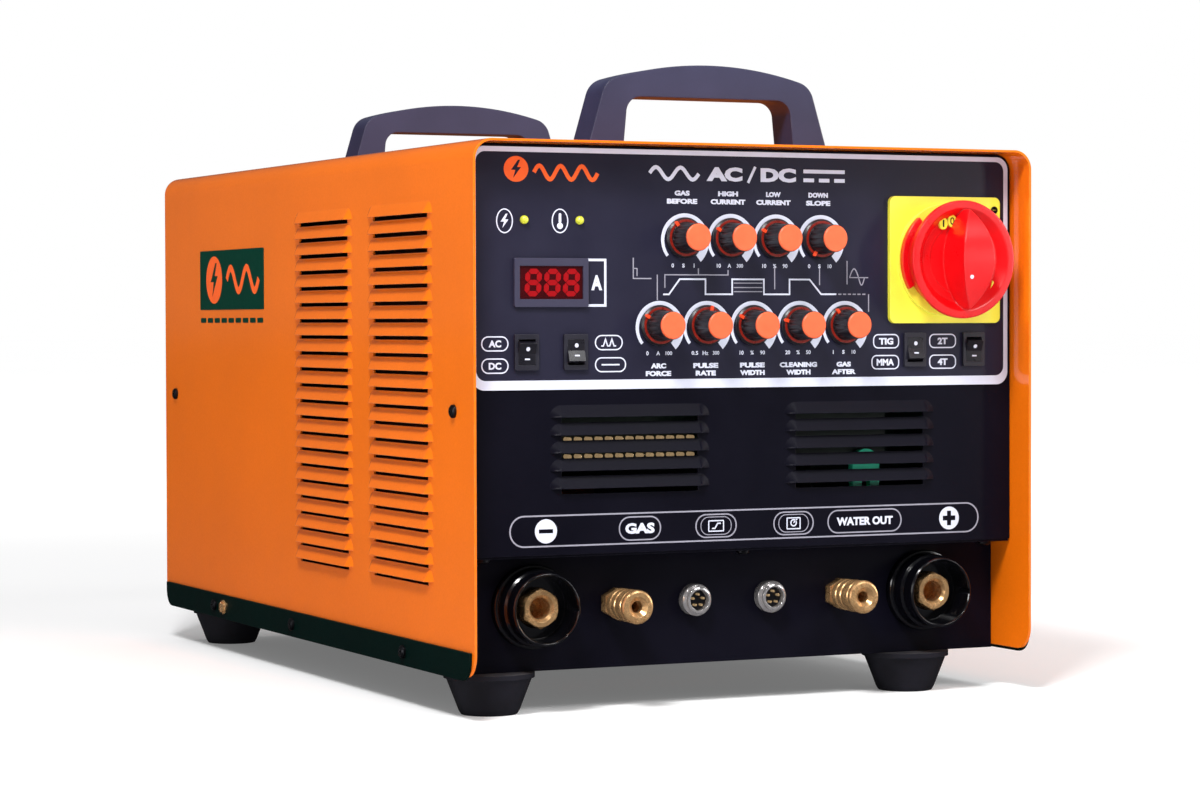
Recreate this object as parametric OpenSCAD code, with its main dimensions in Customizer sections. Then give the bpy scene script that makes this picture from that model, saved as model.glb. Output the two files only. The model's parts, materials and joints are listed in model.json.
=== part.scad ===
// TIG welding power source: a sheet-metal inverter cabinet with two carrying handles, a control
// panel with nine knobs, four rockers, an ammeter and a mains isolator, and a recessed connector
// panel with two weld sockets, two quick couplings and two control sockets.
// Own frame: millimetres, +Z up, front faces -Y, origin on the ground under the middle of the case.
// Left and right are as seen from the front, so left is -X.

/* [Case] */
// Width over the orange cover
case_w = 380; // [372:1:400]
// Depth of the cover, front edge to rear edge
case_d = 588; // [580:1:620]
// Height of the case from the tray to the top of the cover, without feet and handles
case_h = 316; // [314:1:330]
// Height of the rubber feet
foot_h = 25; // [18:1:32]
// Thickness of the sheet metal
sheet_t = 1.5; // [1.2:0.1:1.8]
// Outside radius of the two long top bends of the cover
bend_r = 12; // [8:1:14]
// How far the control panel sits behind the front edge of the cover
front_recess = 22; // [18:1:26]
// How far the connector panel sits behind the front edge of the cover
socket_recess = 44; // [42:1:48]
// Height of the connector panel above the tray
socket_panel_h = 71; // [70:1:73]
// Height of the side flange of the tray
tray_flange_h = 17; // [15:1:20]

/* [Side louvres] */
// Louvres in one column
louvre_rows = 22; // [8:1:22]
// Distance between two louvres of a column
louvre_pitch = 10.5; // [10:0.1:10.6]
// Length of one louvre
louvre_len = 106; // [60:1:112]
// How far a louvre stands out of the cover
louvre_proud = 3.8; // [2.5:0.1:4.2]

/* [Front vents] */
// Louvres in one front vent
vent_rows = 5; // [2:1:5]
// Length of a front louvre
vent_len = 106; // [60:1:112]

/* [Handles] */
// Depth of the handle bar, front to back
handle_depth = 25; // [18:1:30]
// Height of the handle above the cover
handle_h = 52.4; // [50:0.1:56]

/* [Control knobs] */
// Diameter of the knob skirt
knob_skirt_d = 24.6; // [22:0.2:25]
// Diameter of the knob body at its front
knob_d = 16.8; // [15:0.2:17]
// Height of the knob in front of the panel, without the cap
knob_h = 19; // [16:0.5:22]
// Diameter of the coloured cap
cap_d = 16.2; // [14.5:0.1:16.4]
// Diameter of the spindle
spindle_d = 6; // [5:0.5:6]
// Flutes round the knob
knob_flutes = 16; // [8:1:20]

/* [Isolator] */
// Side of the square isolator plate
isolator_plate_w = 80; // [76:1:82]
// Diameter of the isolator handle
isolator_d = 73.2; // [70:0.2:74]

/* [Weld sockets] */
// Distance of each weld socket from the middle
socket_x = 135.5; // [132:0.5:138]
// Outside diameter of the insulating ring at its front edge
socket_d = 43.6; // [42:0.4:45]
// Bore of the weld socket contact
socket_bore_d = 13.1; // [9:0.1:13.1]

/* [Fan] */
// Number of fan blades
fan_blades = 7; // [5:1:9]

/* [Hidden] */
$fn = 48;
sides = [-1, 1];                   // sign of X, left then right, or of another mirrored pair
clear = 0.05;                      // radial running clearance
panel_gap = 0.6;                   // gap between the end panels and the inside of the cover
tray_gap = 0.1;                    // gap between the tray flange and the cover

// main planes
tray_z = foot_h;                   // underside of the tray
cover_top = foot_h + case_h;
step_z = tray_z + socket_panel_h;  // step between the two front panels
front_y = -case_d / 2;             // front edge of the cover
rear_y = case_d / 2;               // rear edge of the cover
panel_y = front_y + front_recess;  // face of the control panel
overlay_t = 0.5;
overlay_y = panel_y - overlay_t;   // face of the overlay
panel_back = panel_y + sheet_t;
conn_y = front_y + socket_recess;  // face of the connector panel
rear_panel_y = rear_y - front_recess;  // inner face of the rear panel
rear_face_y = rear_panel_y + sheet_t;  // outer face of the rear panel
cover_x = case_w / 2;              // outside of the cover wall
cover_in_x = cover_x - sheet_t;    // inside of the cover wall
panel_x = cover_in_x - panel_gap;  // half width of the end panels
tray_in_x = cover_x + tray_gap;    // inside of the tray flange
tray_x = tray_in_x + sheet_t;      // outside of the tray flange

// fixings
side_screw_z = tray_z + 157;
side_screw_ys = [front_y + 30, rear_y - 25.5];
tray_screw_z = tray_z + 8.5;
tray_screw_ys = [-186, 14, 177];
earth_y = 157;
shelf_x = 173;                     // outer screws under the step
shelf_y = panel_y + 6;
foot_xs = [-158, 130];
foot_ys = [-240, 240];
handle_ys = [-210, 196];
handle_bolt_x = 71.5;
handle_bolt_r = 3;

// places on the control panel
upper_knobs = [for (i = [0:3]) [-43.1 + i * 31.2, tray_z + 259.8]];  // x, z
lower_knobs = [for (i = [0:4]) [-60.2 + i * 31.9, tray_z + 207]];    // x, z
knob_places = concat(upper_knobs, lower_knobs);
meter_x = -131.5;
meter_z = tray_z + 232.6;
meter_body = [44.8, 25.8];
meter_window = [41.2, 19.6];
rocker_xs = [-147.6, -115.7, 117.4, 160.2];
rocker_z = tray_z + 191.4;
rocker_body = [13, 19];
led_xs = [-148.5, -112.5];
led_z = tray_z + 269.6;
iso_x = 138.6;
iso_z = tray_z + 247.4;
iso_y = overlay_y - 5.4;           // back of the isolator handle
iso_grip = 38.1;                   // how far the grip stands in front of it
iso_spindle_r = 6;
vent_x = 79;
vent_z = tray_z + 110.2;
vent_pitch = 10.6;
vent_rise = 7.2;
vent_proud = 4;

// places on the connector panel
conn_z = tray_z + 39;
gas_x = -80;
water_x = 75;
control_x = 26;

// places on the rear panel
fan_z = tray_z + 190;
fan_r = 74;
fan_side = 160;
fan_depth = 38;
fan_y = rear_panel_y - fan_depth;
fan_screw = 71;                    // screws off the fan axis, sideways and up
inlet_z = tray_z + 45;
cable_x = -120;
inlet_xs = [95, 135];

// boards
pcb_t = 1.6;
board_y = overlay_y + 18;          // front of the control board
pin_cols = 13;
pin_pitch = 6.86;
pin_x = -113.8;
pin_z = tray_z + 138.9;
pin_row_gap = 10.3;

// ---------- helpers ----------
// flat shape (x, z) as a plate between y - h and y
module plate_y(y, h) translate([0, y, 0]) rotate([90, 0, 0]) linear_extrude(h) children();
// flat shape (y, z) as a plate between x and x + h
module plate_x(x, h) translate([x, 0, 0]) rotate([90, 0, 90]) linear_extrude(h) children();
// turned shape (r, distance in front of y) about an axis along Y
module turned_front(x, y, z) translate([x, y, z]) rotate([90, 0, 0]) rotate_extrude() children();
// turned shape (r, distance behind y)
module turned_back(x, y, z) translate([x, y, z]) rotate([-90, 0, 0]) rotate_extrude() children();
// rod along Y between y0 and y1
module rod_y(x, z, y0, y1, r)
  translate([x, y1, z]) rotate([90, 0, 0]) cylinder(h = y1 - y0, r = r);
// rod along X between x0 and x1
module rod_x(y, z, x0, x1, r)
  translate([x0, y, z]) rotate([0, 90, 0]) cylinder(h = x1 - x0, r = r);
// cutting rods that reach equally far to both sides of a sheet
module hole_y(x, y, z, r, reach = 5) rod_y(x, z, y - reach, y + reach, r);
module hole_x(x, y, z, r, reach) rod_x(y, z, x - reach, x + reach, r);
// hexagonal rod along Y with a corner on top; flats is the width across flats
module hex_rod(x, z, y0, y1, flats)
  translate([x, y1, z]) rotate([90, 0, 0]) rotate([0, 0, 90])
    cylinder(h = y1 - y0, d = flats / cos(30), $fn = 6);
module rounded_rect(w, h, r) {
  square([w - 2 * r, h], center = true);
  square([w, h - 2 * r], center = true);
  for (sx = sides, sy = sides) translate([sx * (w / 2 - r), sy * (h / 2 - r)]) circle(r);
}
// places children with their local +Z pointing out of the left or right side
module on_side(side, x, y, z) translate([side * x, y, z]) rotate([0, side * 90, 0]) children();
module at_shelf_screws(z) for (i = [-1, 0, 1]) translate([i * shelf_x, shelf_y, z]) children();
module at_feet(z) for (x = foot_xs, y = foot_ys) translate([x, y, z]) children();
module at_handle_bolts(y, z) for (s = sides) translate([s * handle_bolt_x, y, z]) children();
module at_fan_screws() for (sx = sides, sz = sides)
  translate([sx * fan_screw, 0, fan_z + sz * fan_screw]) children();

// ---------- louvres ----------
// Pressed louvre, open below: local X along, Y up, Z outward. Its root is sunk in the sheet.
louvre_root = 0.5;
louvre_wall = 1.2;
module louvre_profile(rise, proud)
  polygon([[0, -louvre_root], [rise * (1 + louvre_root / proud), -louvre_root], [0, proud]]);
// straight middle, closed by a quarter cone at each end
module louvre(len, rise, proud) {
  end_x = len / 2 - rise;
  plate_x(-end_x, len - 2 * rise) louvre_profile(rise, proud);
  translate([end_x, 0, 0]) rotate_extrude(angle = 90) louvre_profile(rise, proud);
  translate([-end_x, 0, 0]) rotate([0, 0, 90]) rotate_extrude(angle = 90)
    louvre_profile(rise, proud);
}
// the opening under a louvre, cut through the sheet from a distance below its lip
module louvre_gap(len, rise, proud, below) {
  lip = proud - louvre_wall * sqrt(rise * rise + proud * proud) / rise;
  top_y = rise * lip / proud;
  plate_x(-(len / 2 - rise) + 0.5, len - 2 * rise - 1)
    polygon([[-below, -3], [top_y, -3], [top_y, 0], [0, lip],
      [-0.5, lip], [-0.5, 0.2], [-below, 0.2]]);
}
side_louvre_rise = 7.5;
module at_side_louvres() for (s = sides, y = [-178.3, -43.7], i = [0:louvre_rows - 1])
  translate([s * cover_x, y, tray_z + 54 + i * louvre_pitch]) rotate([90, 0, s * 90]) children();
module at_front_vents() for (s = sides, i = [0:vent_rows - 1])
  translate([s * vent_x, panel_y, vent_z + i * vent_pitch]) rotate([90, 0, 0]) children();

// ---------- case ----------
// front view (x, z) of the case: upright sides and two rounded top corners
module case_arch(w, z_top, r, z_low) {
  translate([-w / 2, z_low]) square([w, z_top - r - z_low]);
  translate([-w / 2 + r, z_low]) square([w - 2 * r, z_top - z_low]);
  for (s = sides) translate([s * (w / 2 - r), z_top - r]) circle(r);
}
// side view (y, z) with two rounded lower corners centred lift above the tray underside
module side_outline(half_d, r, lift, upper_h, middle_h) {
  translate([-half_d, tray_z + lift]) square([2 * half_d, upper_h]);
  translate([-half_d + r, tray_z]) square([2 * (half_d - r), middle_h]);
  for (s = sides) translate([s * (half_d - r), tray_z + lift]) circle(r);
}
module tray_screw_holes() for (s = sides, y = concat(tray_screw_ys, [earth_y]))
  hole_x(s * cover_x, y, tray_screw_z, 2.2, 4);
module cover_shell() color("darkorange") difference() {
  union() {
    intersection() {
      plate_y(rear_y, case_d) difference() {
        case_arch(case_w, cover_top, bend_r, tray_z + sheet_t + 0.5);
        case_arch(2 * cover_in_x, cover_top - sheet_t, bend_r - sheet_t, tray_z);
      }
      plate_x(-cover_x - 1, case_w + 2) side_outline(rear_y, 14, 16, case_h, case_h);
    }
    at_side_louvres() louvre(louvre_len, side_louvre_rise, louvre_proud);
  }
  at_side_louvres() louvre_gap(louvre_len, side_louvre_rise, louvre_proud, 2.3);
  for (s = sides, y = side_screw_ys) hole_x(s * cover_x, y, side_screw_z, 2.2, 4);
  tray_screw_holes();
  for (y = handle_ys) at_handle_bolts(y, cover_top - 4) cylinder(h = 8, r = 3.3);
}
module base_tray() color("darkslategray") difference() {
  end_gap = 4;                     // tray ends inside the front and rear edges of the cover
  intersection() {
    plate_y(rear_y - end_gap, case_d - 2 * end_gap) difference() {
      translate([-tray_x, tray_z]) square([2 * tray_x, tray_flange_h]);
      translate([-tray_in_x, tray_z + sheet_t]) square([2 * tray_in_x, tray_flange_h]);
    }
    plate_x(-cover_x - 3, case_w + 6) side_outline(rear_y - end_gap, 12, 12, 20, 32);
  }
  // the floor ends 0.1 behind the back of the connector panel and of the rear panel
  translate([-tray_in_x, front_y - 5, tray_z - 1])
    cube([2 * tray_in_x, socket_recess + sheet_t + 5.1, 6]);
  translate([-tray_in_x, rear_face_y + 0.1, tray_z - 1]) cube([2 * tray_in_x, 40, 6]);
  tray_screw_holes();
  at_feet(tray_z - 1) cylinder(h = 4, r = 3.2);
  // row of slots in the floor
  for (i = [0:11]) translate([-70 + i * 12, -160, tray_z - 1]) cube([5, 60, 4]);
}
module panel_outline(z_low) case_arch(2 * panel_x, cover_top - sheet_t - panel_gap, 10, z_low);
module side_returns(y, z, depth, height) for (s = sides)
  translate([s > 0 ? panel_x - sheet_t : -panel_x, y, z]) cube([sheet_t, depth, height]);
module panel_side_holes(y) for (s = sides) hole_x(s * cover_in_x, y, side_screw_z, 2.1, 6);
// openings shared by the control panel and its overlay
module panel_cuts(knob_extra) {
  for (place = knob_places) hole_y(place.x, panel_y, place.y, 3.6 + knob_extra);
  plate_y(panel_y + 5, 10) translate([meter_x, meter_z])
    square(meter_body + [0.4, 0.4], center = true);
  plate_y(panel_y + 5, 10) for (x = rocker_xs) translate([x, rocker_z])
    square(rocker_body + [0.2, 0.2], center = true);
  for (x = led_xs) hole_y(x, panel_y, led_z, 2.6);
  hole_y(iso_x, panel_y, iso_z, 9);
}
module front_panel() color("black") difference() {
  union() {
    plate_y(panel_back, sheet_t) panel_outline(step_z);
    // side, top and bottom returns
    side_returns(panel_y, step_z, 16, case_h - socket_panel_h - 16);
    translate([-panel_x + 12, panel_y, cover_top - 2 * sheet_t - panel_gap])
      cube([2 * panel_x - 24, 14, sheet_t]);
    translate([-panel_x, panel_y, step_z]) cube([2 * panel_x, 18, sheet_t]);
    at_front_vents() louvre(vent_len, vent_rise, vent_proud);
  }
  at_front_vents() louvre_gap(vent_len, vent_rise, vent_proud, 3.2);
  panel_cuts(0);
  panel_side_holes(side_screw_ys[0]);
  at_shelf_screws(step_z - 2) cylinder(h = 6, r = 2.1);
}
module control_overlay() color("dimgray") difference() {
  plate_y(panel_y, overlay_t) translate([2, tray_z + 240.8]) rounded_rect(368, 143.4, 8);
  panel_cuts(0.2);
}
module connector_panel() color("black") difference() {
  union() {
    translate([-panel_x, conn_y, tray_z]) cube([2 * panel_x, sheet_t, socket_panel_h]);
    // shelf under the step
    translate([-panel_x, panel_back, step_z - sheet_t])
      cube([2 * panel_x, conn_y - panel_y, sheet_t]);
    side_returns(conn_y, tray_z + 3, 14, socket_panel_h - 3);
  }
  for (s = sides) {
    hole_y(s * socket_x, conn_y, conn_z, 15.2);
    hole_y(s * control_x, conn_y, conn_z, 8.2);
  }
  for (x = [gas_x, water_x]) hole_y(x, conn_y, conn_z, 7.2);
  at_shelf_screws(step_z - 4) cylinder(h = 6, r = 2.2);
}
module rear_panel() color("black") difference() {
  union() {
    plate_y(rear_face_y, sheet_t) panel_outline(tray_z + sheet_t);
    side_returns(rear_panel_y - 18, tray_z + sheet_t + 4, 19, case_h - 24);
    translate([-panel_x, rear_panel_y - 12, tray_z + sheet_t]) cube([2 * panel_x, 13, sheet_t]);
  }
  hole_y(0, rear_panel_y, fan_z, fan_r - 1, 3);
  at_fan_screws() hole_y(0, rear_panel_y, 0, 2.2, 3);
  panel_side_holes(side_screw_ys[1]);
  hole_y(cable_x, rear_panel_y, inlet_z, 10.2, 3);
  for (x = inlet_xs) hole_y(x, rear_panel_y, inlet_z, 5.2, 3);
  // a column of slots on each side of the fan
  plate_y(rear_panel_y + 3, 6) for (s = sides, i = [0:9])
    translate([s * 130, tray_z + 110 + i * 16]) rounded_rect(60, 5, 2.4);
}

// ---------- handles ----------
// all outlines are (x, height above the cover)
handle_crown_r = 235;
module handle_flanks() {
  foot_x = 83.5;
  flank_h = 70;
  flank_x = foot_x - 0.2985 * flank_h;
  polygon([[-foot_x, 0], [foot_x, 0], [flank_x, flank_h], [-flank_x, flank_h]]);
}
module handle_outline() {
  // crowned top
  intersection() {
    translate([0, handle_h - handle_crown_r]) circle(handle_crown_r, $fn = 96);
    handle_flanks();
    translate([-63.7, -1]) square([127.4, 80]);
  }
  // sloping legs
  intersection() {
    handle_flanks();
    translate([-100, 0]) square([200, handle_h - 18.3]);
  }
  // rounded shoulders
  for (s = sides) translate([s * 59.9, handle_h - 22.3]) circle(14);
}
module handle_gap() {
  gap_h = handle_h - 20.5;
  gap_r = 10;
  shoulder_x = 57.4;
  flat_x = shoulder_x - gap_r;
  polygon([[-59.6, -1], [59.6, -1], [shoulder_x, gap_h - gap_r], [-shoulder_x, gap_h - gap_r]]);
  translate([-flat_x, -1]) square([2 * flat_x, gap_h + 1]);
  for (s = sides) translate([s * flat_x, gap_h - gap_r]) circle(gap_r);
}
module carry_handle(y) difference() {
  plate_y(y + handle_depth / 2, handle_depth) translate([0, cover_top]) difference() {
    handle_outline();
    handle_gap();
  }
  at_handle_bolts(y, cover_top - 1) cylinder(h = 17, r = handle_bolt_r + clear);
}
module front_handle() color("dimgray") carry_handle(handle_ys[0]);
module rear_handle() color("dimgray") carry_handle(handle_ys[1]);
// bolts from inside the cover: shank, washer and hexagonal head
module handle_bolts() color("silver") for (y = handle_ys)
  at_handle_bolts(y, cover_top - sheet_t) {
    cylinder(h = 15, r = handle_bolt_r);
    translate([0, 0, -1.2]) cylinder(h = 1.2, r = 7);
    translate([0, 0, -5.2]) cylinder(h = 4, d = 10 / cos(30), $fn = 6);
  }

// ---------- screws and feet ----------
// pan head screw with a cross recess, head outward along local +Z, seat at 0
module pan_screw(len) {
  shank_r = 2;
  head_r = 4;
  rim_h = 1.5;
  difference() {
    union() {
      translate([0, 0, -len]) cylinder(h = len + 1, r = shank_r);
      cylinder(h = rim_h, r = head_r);
      translate([0, 0, rim_h]) cylinder(h = 0.9, r1 = head_r, r2 = 2.9);
    }
    for (a = [0, 90]) rotate([0, 0, a]) translate([-2.2, -0.4, 1.2]) cube([4.4, 0.8, 3]);
  }
}
module case_screws() color("black") {
  for (s = sides) {
    for (y = side_screw_ys) on_side(s, cover_x, y, side_screw_z) pan_screw(9);
    for (y = tray_screw_ys) on_side(s, tray_x, y, tray_screw_z) pan_screw(8);
  }
  at_shelf_screws(step_z - sheet_t) rotate([180, 0, 0]) pan_screw(8);
  at_fan_screws() translate([0, rear_face_y + 2, 0]) rotate([-90, 0, 0]) pan_screw(42);
}
// slotted hexagonal screw with a washer, on the left side only
module earth_screw() color("goldenrod") on_side(-1, tray_x, earth_y, tray_screw_z) difference() {
  union() {
    translate([0, 0, -12]) cylinder(h = 13, r = 2);
    cylinder(h = 0.8, r = 5);
    translate([0, 0, 0.8]) cylinder(h = 1.6, d = 7 / cos(30), $fn = 6);
  }
  translate([-5, -0.5, 1.6]) cube([10, 1, 2]);
}
// tapered foot with a moulded plug that passes through the tray
module rubber_feet() color("black") at_feet(0) difference() {
  tread_h = 2.5;
  rim_h = 3;
  union() {
    cylinder(h = tread_h, r1 = 17, r2 = 18.5);
    translate([0, 0, tread_h]) cylinder(h = tray_z - tread_h - rim_h, r1 = 18.5, r2 = 26);
    translate([0, 0, tray_z - rim_h]) cylinder(h = rim_h, r = 27.5);
    cylinder(h = tray_z + sheet_t + 3, r = 3.1);
  }
  translate([0, 0, -1]) cylinder(h = 7, r = 7);
}

// ---------- meter, lamps and rockers ----------
module meter_bezel() color("dimgray") difference() {
  union() {
    plate_y(overlay_y, 2) translate([meter_x, meter_z]) rounded_rect(48, 29, 1);
    plate_y(overlay_y + 16, 16) translate([meter_x, meter_z]) square(meter_body, center = true);
  }
  plate_y(overlay_y + 17, 20) translate([meter_x, meter_z]) square(meter_window, center = true);
}
module meter_display() color("darkred")
  plate_y(overlay_y + 15, 15.9) translate([meter_x, meter_z])
    square(meter_window - [0.2, 0.2], center = true);
module indicator_leds() color("yellowgreen") for (x = led_xs) {
  led_r = 2.5;
  dome_y = overlay_y - 0.6;
  rod_y(x, led_z, dome_y, panel_back + 1, led_r);
  translate([x, dome_y, led_z]) difference() {
    sphere(led_r);
    translate([-3, 0, -3]) cube(6);
  }
  // collar behind the panel
  rod_y(x, led_z, panel_back, panel_back + 1, 2.95);
}
rocker_pivot_y = overlay_y + 3;    // 5 mm behind the face of the rocker bezel
rocker_pivot_r = 1;
module rocker_frames() color("dimgray") for (x = rocker_xs) difference() {
  union() {
    plate_y(overlay_y, 2) translate([x, rocker_z]) rounded_rect(15.4, 21.2, 0.8);
    plate_y(overlay_y + 14, 14) translate([x, rocker_z]) square(rocker_body, center = true);
  }
  plate_y(overlay_y + 12.5, 16) translate([x, rocker_z]) square([11.2, 15.4], center = true);
  hole_x(x, rocker_pivot_y, rocker_z, rocker_pivot_r + clear, 6.4);
}
// side view of a rocker about its pivot: y, z
rocker_profile = [[2.5, -6.5], [2.5, 6.5], [0, 7.5], [-5, 6.8], [-6.3, 6.6], [-5.3, 0],
  [-6.3, -6.6], [-5, -6.8], [0, -7.5]];
// positive tilt brings the upper end out and the lower end in
module rocker(x, tilt) translate([x, rocker_pivot_y, rocker_z]) rotate([tilt, 0, 0]) {
  plate_x(-5.5, 11) polygon(rocker_profile);
  rod_x(0, 0, -6.2, 6.2, rocker_pivot_r);
}
module polarity_rocker() color("black") rocker(rocker_xs[0], 10);
module pulse_rocker() color("black") rocker(rocker_xs[1], -10);
module process_rocker() color("black") rocker(rocker_xs[2], -10);
module trigger_rocker() color("black") rocker(rocker_xs[3], 10);

// ---------- knobs ----------
knob_y = overlay_y - 0.5;          // back of the knobs
skirt_h = 1.6;
skirt_top = skirt_h + 1;           // front of the skirt bevel
flute_r = 0.9;
// knob without its spindle, local +Z to the front, pointer along +X
module knob_body() difference() {
  union() {
    difference() {
      union() {
        cylinder(h = skirt_h, d = knob_skirt_d);
        translate([0, 0, skirt_h]) cylinder(h = 1, d1 = knob_skirt_d, d2 = knob_skirt_d - 2);
        translate([0, 0, skirt_top]) cylinder(h = knob_h - 3.1, d1 = knob_d + 1.4, d2 = knob_d);
      }
      for (i = [0:knob_flutes - 1]) rotate([0, 0, (i + 0.5) * 360 / knob_flutes])
        translate([knob_d / 2 + flute_r, 0, 3.4]) cylinder(h = knob_h - 5.4, r = flute_r);
    }
    // pointer rib on the skirt
    translate([knob_d / 2 - 0.2, -0.7, skirt_h]) cube([3, 1.4, 1.6]);
  }
  // hollow over the fixing nut, and seat of the cap
  translate([0, 0, -1]) cylinder(h = 3.6, r = 6.6);
  translate([0, 0, knob_h - 2.4]) cylinder(h = 4, d = cap_d - 2);
}
// knob with its spindle at place (x, z); pointer is the pointer angle seen from the front
module knob(place, pointer) union() {
  translate([place.x, knob_y, place.y]) rotate([90, 0, 0]) rotate([0, 0, pointer]) knob_body();
  rod_y(place.x, place.y, overlay_y - 4, overlay_y + 10, spindle_d / 2);
}
module cap(place) {
  cap_r = cap_d / 2;
  plug_r = cap_r - 1.1;
  turned_front(place.x, knob_y, place.y)
    polygon([[0, knob_h - 2.3], [plug_r, knob_h - 2.3], [plug_r, knob_h - 0.5],
      [cap_r, knob_h - 0.5], [cap_r, knob_h + 0.5], [cap_r - 0.6, knob_h + 1],
      [0, knob_h + 1]]);
}
module pre_flow_knob() color("black") knob(upper_knobs[0], 127);
module peak_current_knob() color("black") knob(upper_knobs[1], 150);
module base_current_knob() color("black") knob(upper_knobs[2], 153);
module down_slope_knob() color("black") knob(upper_knobs[3], 240);
module arc_force_knob() color("black") knob(lower_knobs[0], 148);
module pulse_frequency_knob() color("black") knob(lower_knobs[1], 77);
module pulse_width_knob() color("black") knob(lower_knobs[2], 150);
module cleaning_width_knob() color("black") knob(lower_knobs[3], 164);
module post_flow_knob() color("black") knob(lower_knobs[4], 125);
module pre_flow_cap() color("coral") cap(upper_knobs[0]);
module peak_current_cap() color("coral") cap(upper_knobs[1]);
module base_current_cap() color("coral") cap(upper_knobs[2]);
module down_slope_cap() color("coral") cap(upper_knobs[3]);
module arc_force_cap() color("coral") cap(lower_knobs[0]);
module pulse_frequency_cap() color("coral") cap(lower_knobs[1]);
module pulse_width_cap() color("coral") cap(lower_knobs[2]);
module cleaning_width_cap() color("coral") cap(lower_knobs[3]);
module post_flow_cap() color("coral") cap(lower_knobs[4]);
module potentiometer(x, z) {
  bush_r = 3.5;
  difference() {
    union() {
      rod_y(x, z, panel_back, panel_back + 9, 8.5);
      rod_y(x, z, overlay_y - 2.4, panel_back, bush_r);
      // three tags
      for (i = [-1, 0, 1]) translate([x + i * 4 - 1, panel_back + 5, z - 11.5])
        cube([2, 1, 5]);
    }
    rod_y(x, z, overlay_y - 5, overlay_y + 10.5, spindle_d / 2 + clear);
  }
  // fixing nut on the face of the panel
  difference() {
    hex_rod(x, z, overlay_y - 2, overlay_y, 10);
    rod_y(x, z, overlay_y - 3, overlay_y + 1, bush_r + clear);
  }
}
module potentiometers() color("slategray")
  for (place = knob_places) potentiometer(place.x, place.y);

// ---------- isolator ----------
iso_r = isolator_d / 2;
module isolator_plate() color("yellow") difference() {
  union() {
    plate_y(overlay_y, 3) translate([iso_x, iso_z])
      rounded_rect(isolator_plate_w, isolator_plate_w - 1, 4);
    rod_y(iso_x, iso_z, iso_y + 0.2, overlay_y - 2, iso_r - 1.6);
  }
  rod_y(iso_x, iso_z, overlay_y - 6, overlay_y + 1, 8.6);
}
// half section of the handle dish: radius, distance in front of its back
iso_dish = [[0, 0], [iso_r - 7.1, 0], [iso_r - 7.1, 3.2], [iso_r - 5.6, 4.2],
  [iso_r - 3.4, 15.2], [iso_r - 0.4, 16.6], [iso_r, 17.2], [iso_r, 19.2],
  [iso_r - 0.4, 19.9], [iso_r - 1.2, 20.1], [iso_r - 4.4, 20.1], [iso_r - 5, 19.8],
  [iso_r - 10.1, 14.6], [iso_r - 15.1, 14.6], [iso_r - 15.6, 13.6], [0, 13.6]];
module isolator_handle() color("red") translate([iso_x, iso_y, iso_z]) rotate([90, 0, 0]) {
  leaf_r = 49.2;
  leaf_x = 38.2;
  crown_r = 47;
  wing = 80;                       // reach of the wing sector, past the rim
  // shallow dish with a rolled rim
  rotate_extrude() polygon(iso_dish);
  // two wings of the base ring, for padlocks
  for (a = [0, 180]) rotate([0, 0, a]) linear_extrude(3.2) intersection() {
    circle(iso_r - 2.4);
    polygon([[0, 0], [wing * cos(130), wing * sin(130)], [-80, 30], [-80, -30],
      [wing * cos(212), wing * sin(212)]]);
  }
  // leaf-shaped grip with a crowned front
  intersection() {
    translate([0, 0, 13]) linear_extrude(30) intersection() {
      translate([-leaf_x, 0]) circle(leaf_r, $fn = 96);
      translate([leaf_x, 0]) circle(leaf_r, $fn = 96);
    }
    translate([-15, 0, iso_grip - crown_r]) rotate([0, 90, 0])
      cylinder(h = 30, r = crown_r, $fn = 96);
  }
  // spindle
  translate([0, 0, -25.2]) cylinder(h = 26, r = iso_spindle_r);
}
module isolator_switch() color("darkslategray") difference() {
  body_w = 48;
  body_d = 46;
  tab_h = 4;
  union() {
    plate_y(panel_back + body_d, body_d) translate([iso_x, iso_z])
      square([body_w, body_w], center = true);
    // three tabs above and three below the body
    for (i = [-1, 0, 1], s = sides)
      translate([iso_x + i * 15 - 4, panel_back + 20,
        iso_z + (s > 0 ? body_w / 2 : -body_w / 2 - tab_h)]) cube([8, 14, tab_h]);
  }
  rod_y(iso_x, iso_z, panel_y, panel_y + 24, iso_spindle_r + clear);
}

// ---------- connectors ----------
// turned half sections are (radius, distance in front of the connector panel)
ring_r = socket_d / 2;
shell_section = [[12.2, -12], [15, -12], [15, 0], [ring_r + 3.2, 0], [ring_r + 3.6, 0.4],
  [ring_r + 3.6, 5.2], [ring_r + 3.1, 5.8], [ring_r + 1.9, 6], [ring_r + 1.5, 15],
  [ring_r + 0.2, 16], [ring_r, 25.2], [ring_r - 0.7, 26], [ring_r - 1.3, 26],
  [ring_r - 1.8, 25.3], [ring_r - 2.8, 9], [12.2, 9]];
module socket_shells() color("black") for (s = sides) difference() {
  turned_front(s * socket_x, conn_y, conn_z) polygon(shell_section);
  // key slot of the bayonet ring
  translate([s * socket_x + ring_r - 3.4, conn_y - 27, conn_z - 1.6]) cube([2.2, 15, 3.2]);
}
module socket_contact(x) {
  bore_r = socket_bore_d / 2;
  chamfer_r = bore_r + 1.7;
  difference() {
    union() {
      // hexagonal front with a turned edge
      intersection() {
        hex_rod(x, conn_z, conn_y - 17, conn_y + 2, 21.6);
        turned_front(x, conn_y, conn_z)
          polygon([[0, -2], [12.1, -2], [12.1, 15.6], [10.9, 17], [0, 17]]);
      }
      // stud and nut behind the panel
      rod_y(x, conn_z, conn_y + 2, conn_y + 22, 9);
      hex_rod(x, conn_z, conn_y + 12.5, conn_y + 18, 24);
    }
    rod_y(x, conn_z, conn_y - 20, conn_y + 8, bore_r);
    turned_front(x, conn_y, conn_z)
      polygon([[0, 15], [bore_r, 15], [chamfer_r, 17], [chamfer_r, 18], [0, 18]]);
  }
}
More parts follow.
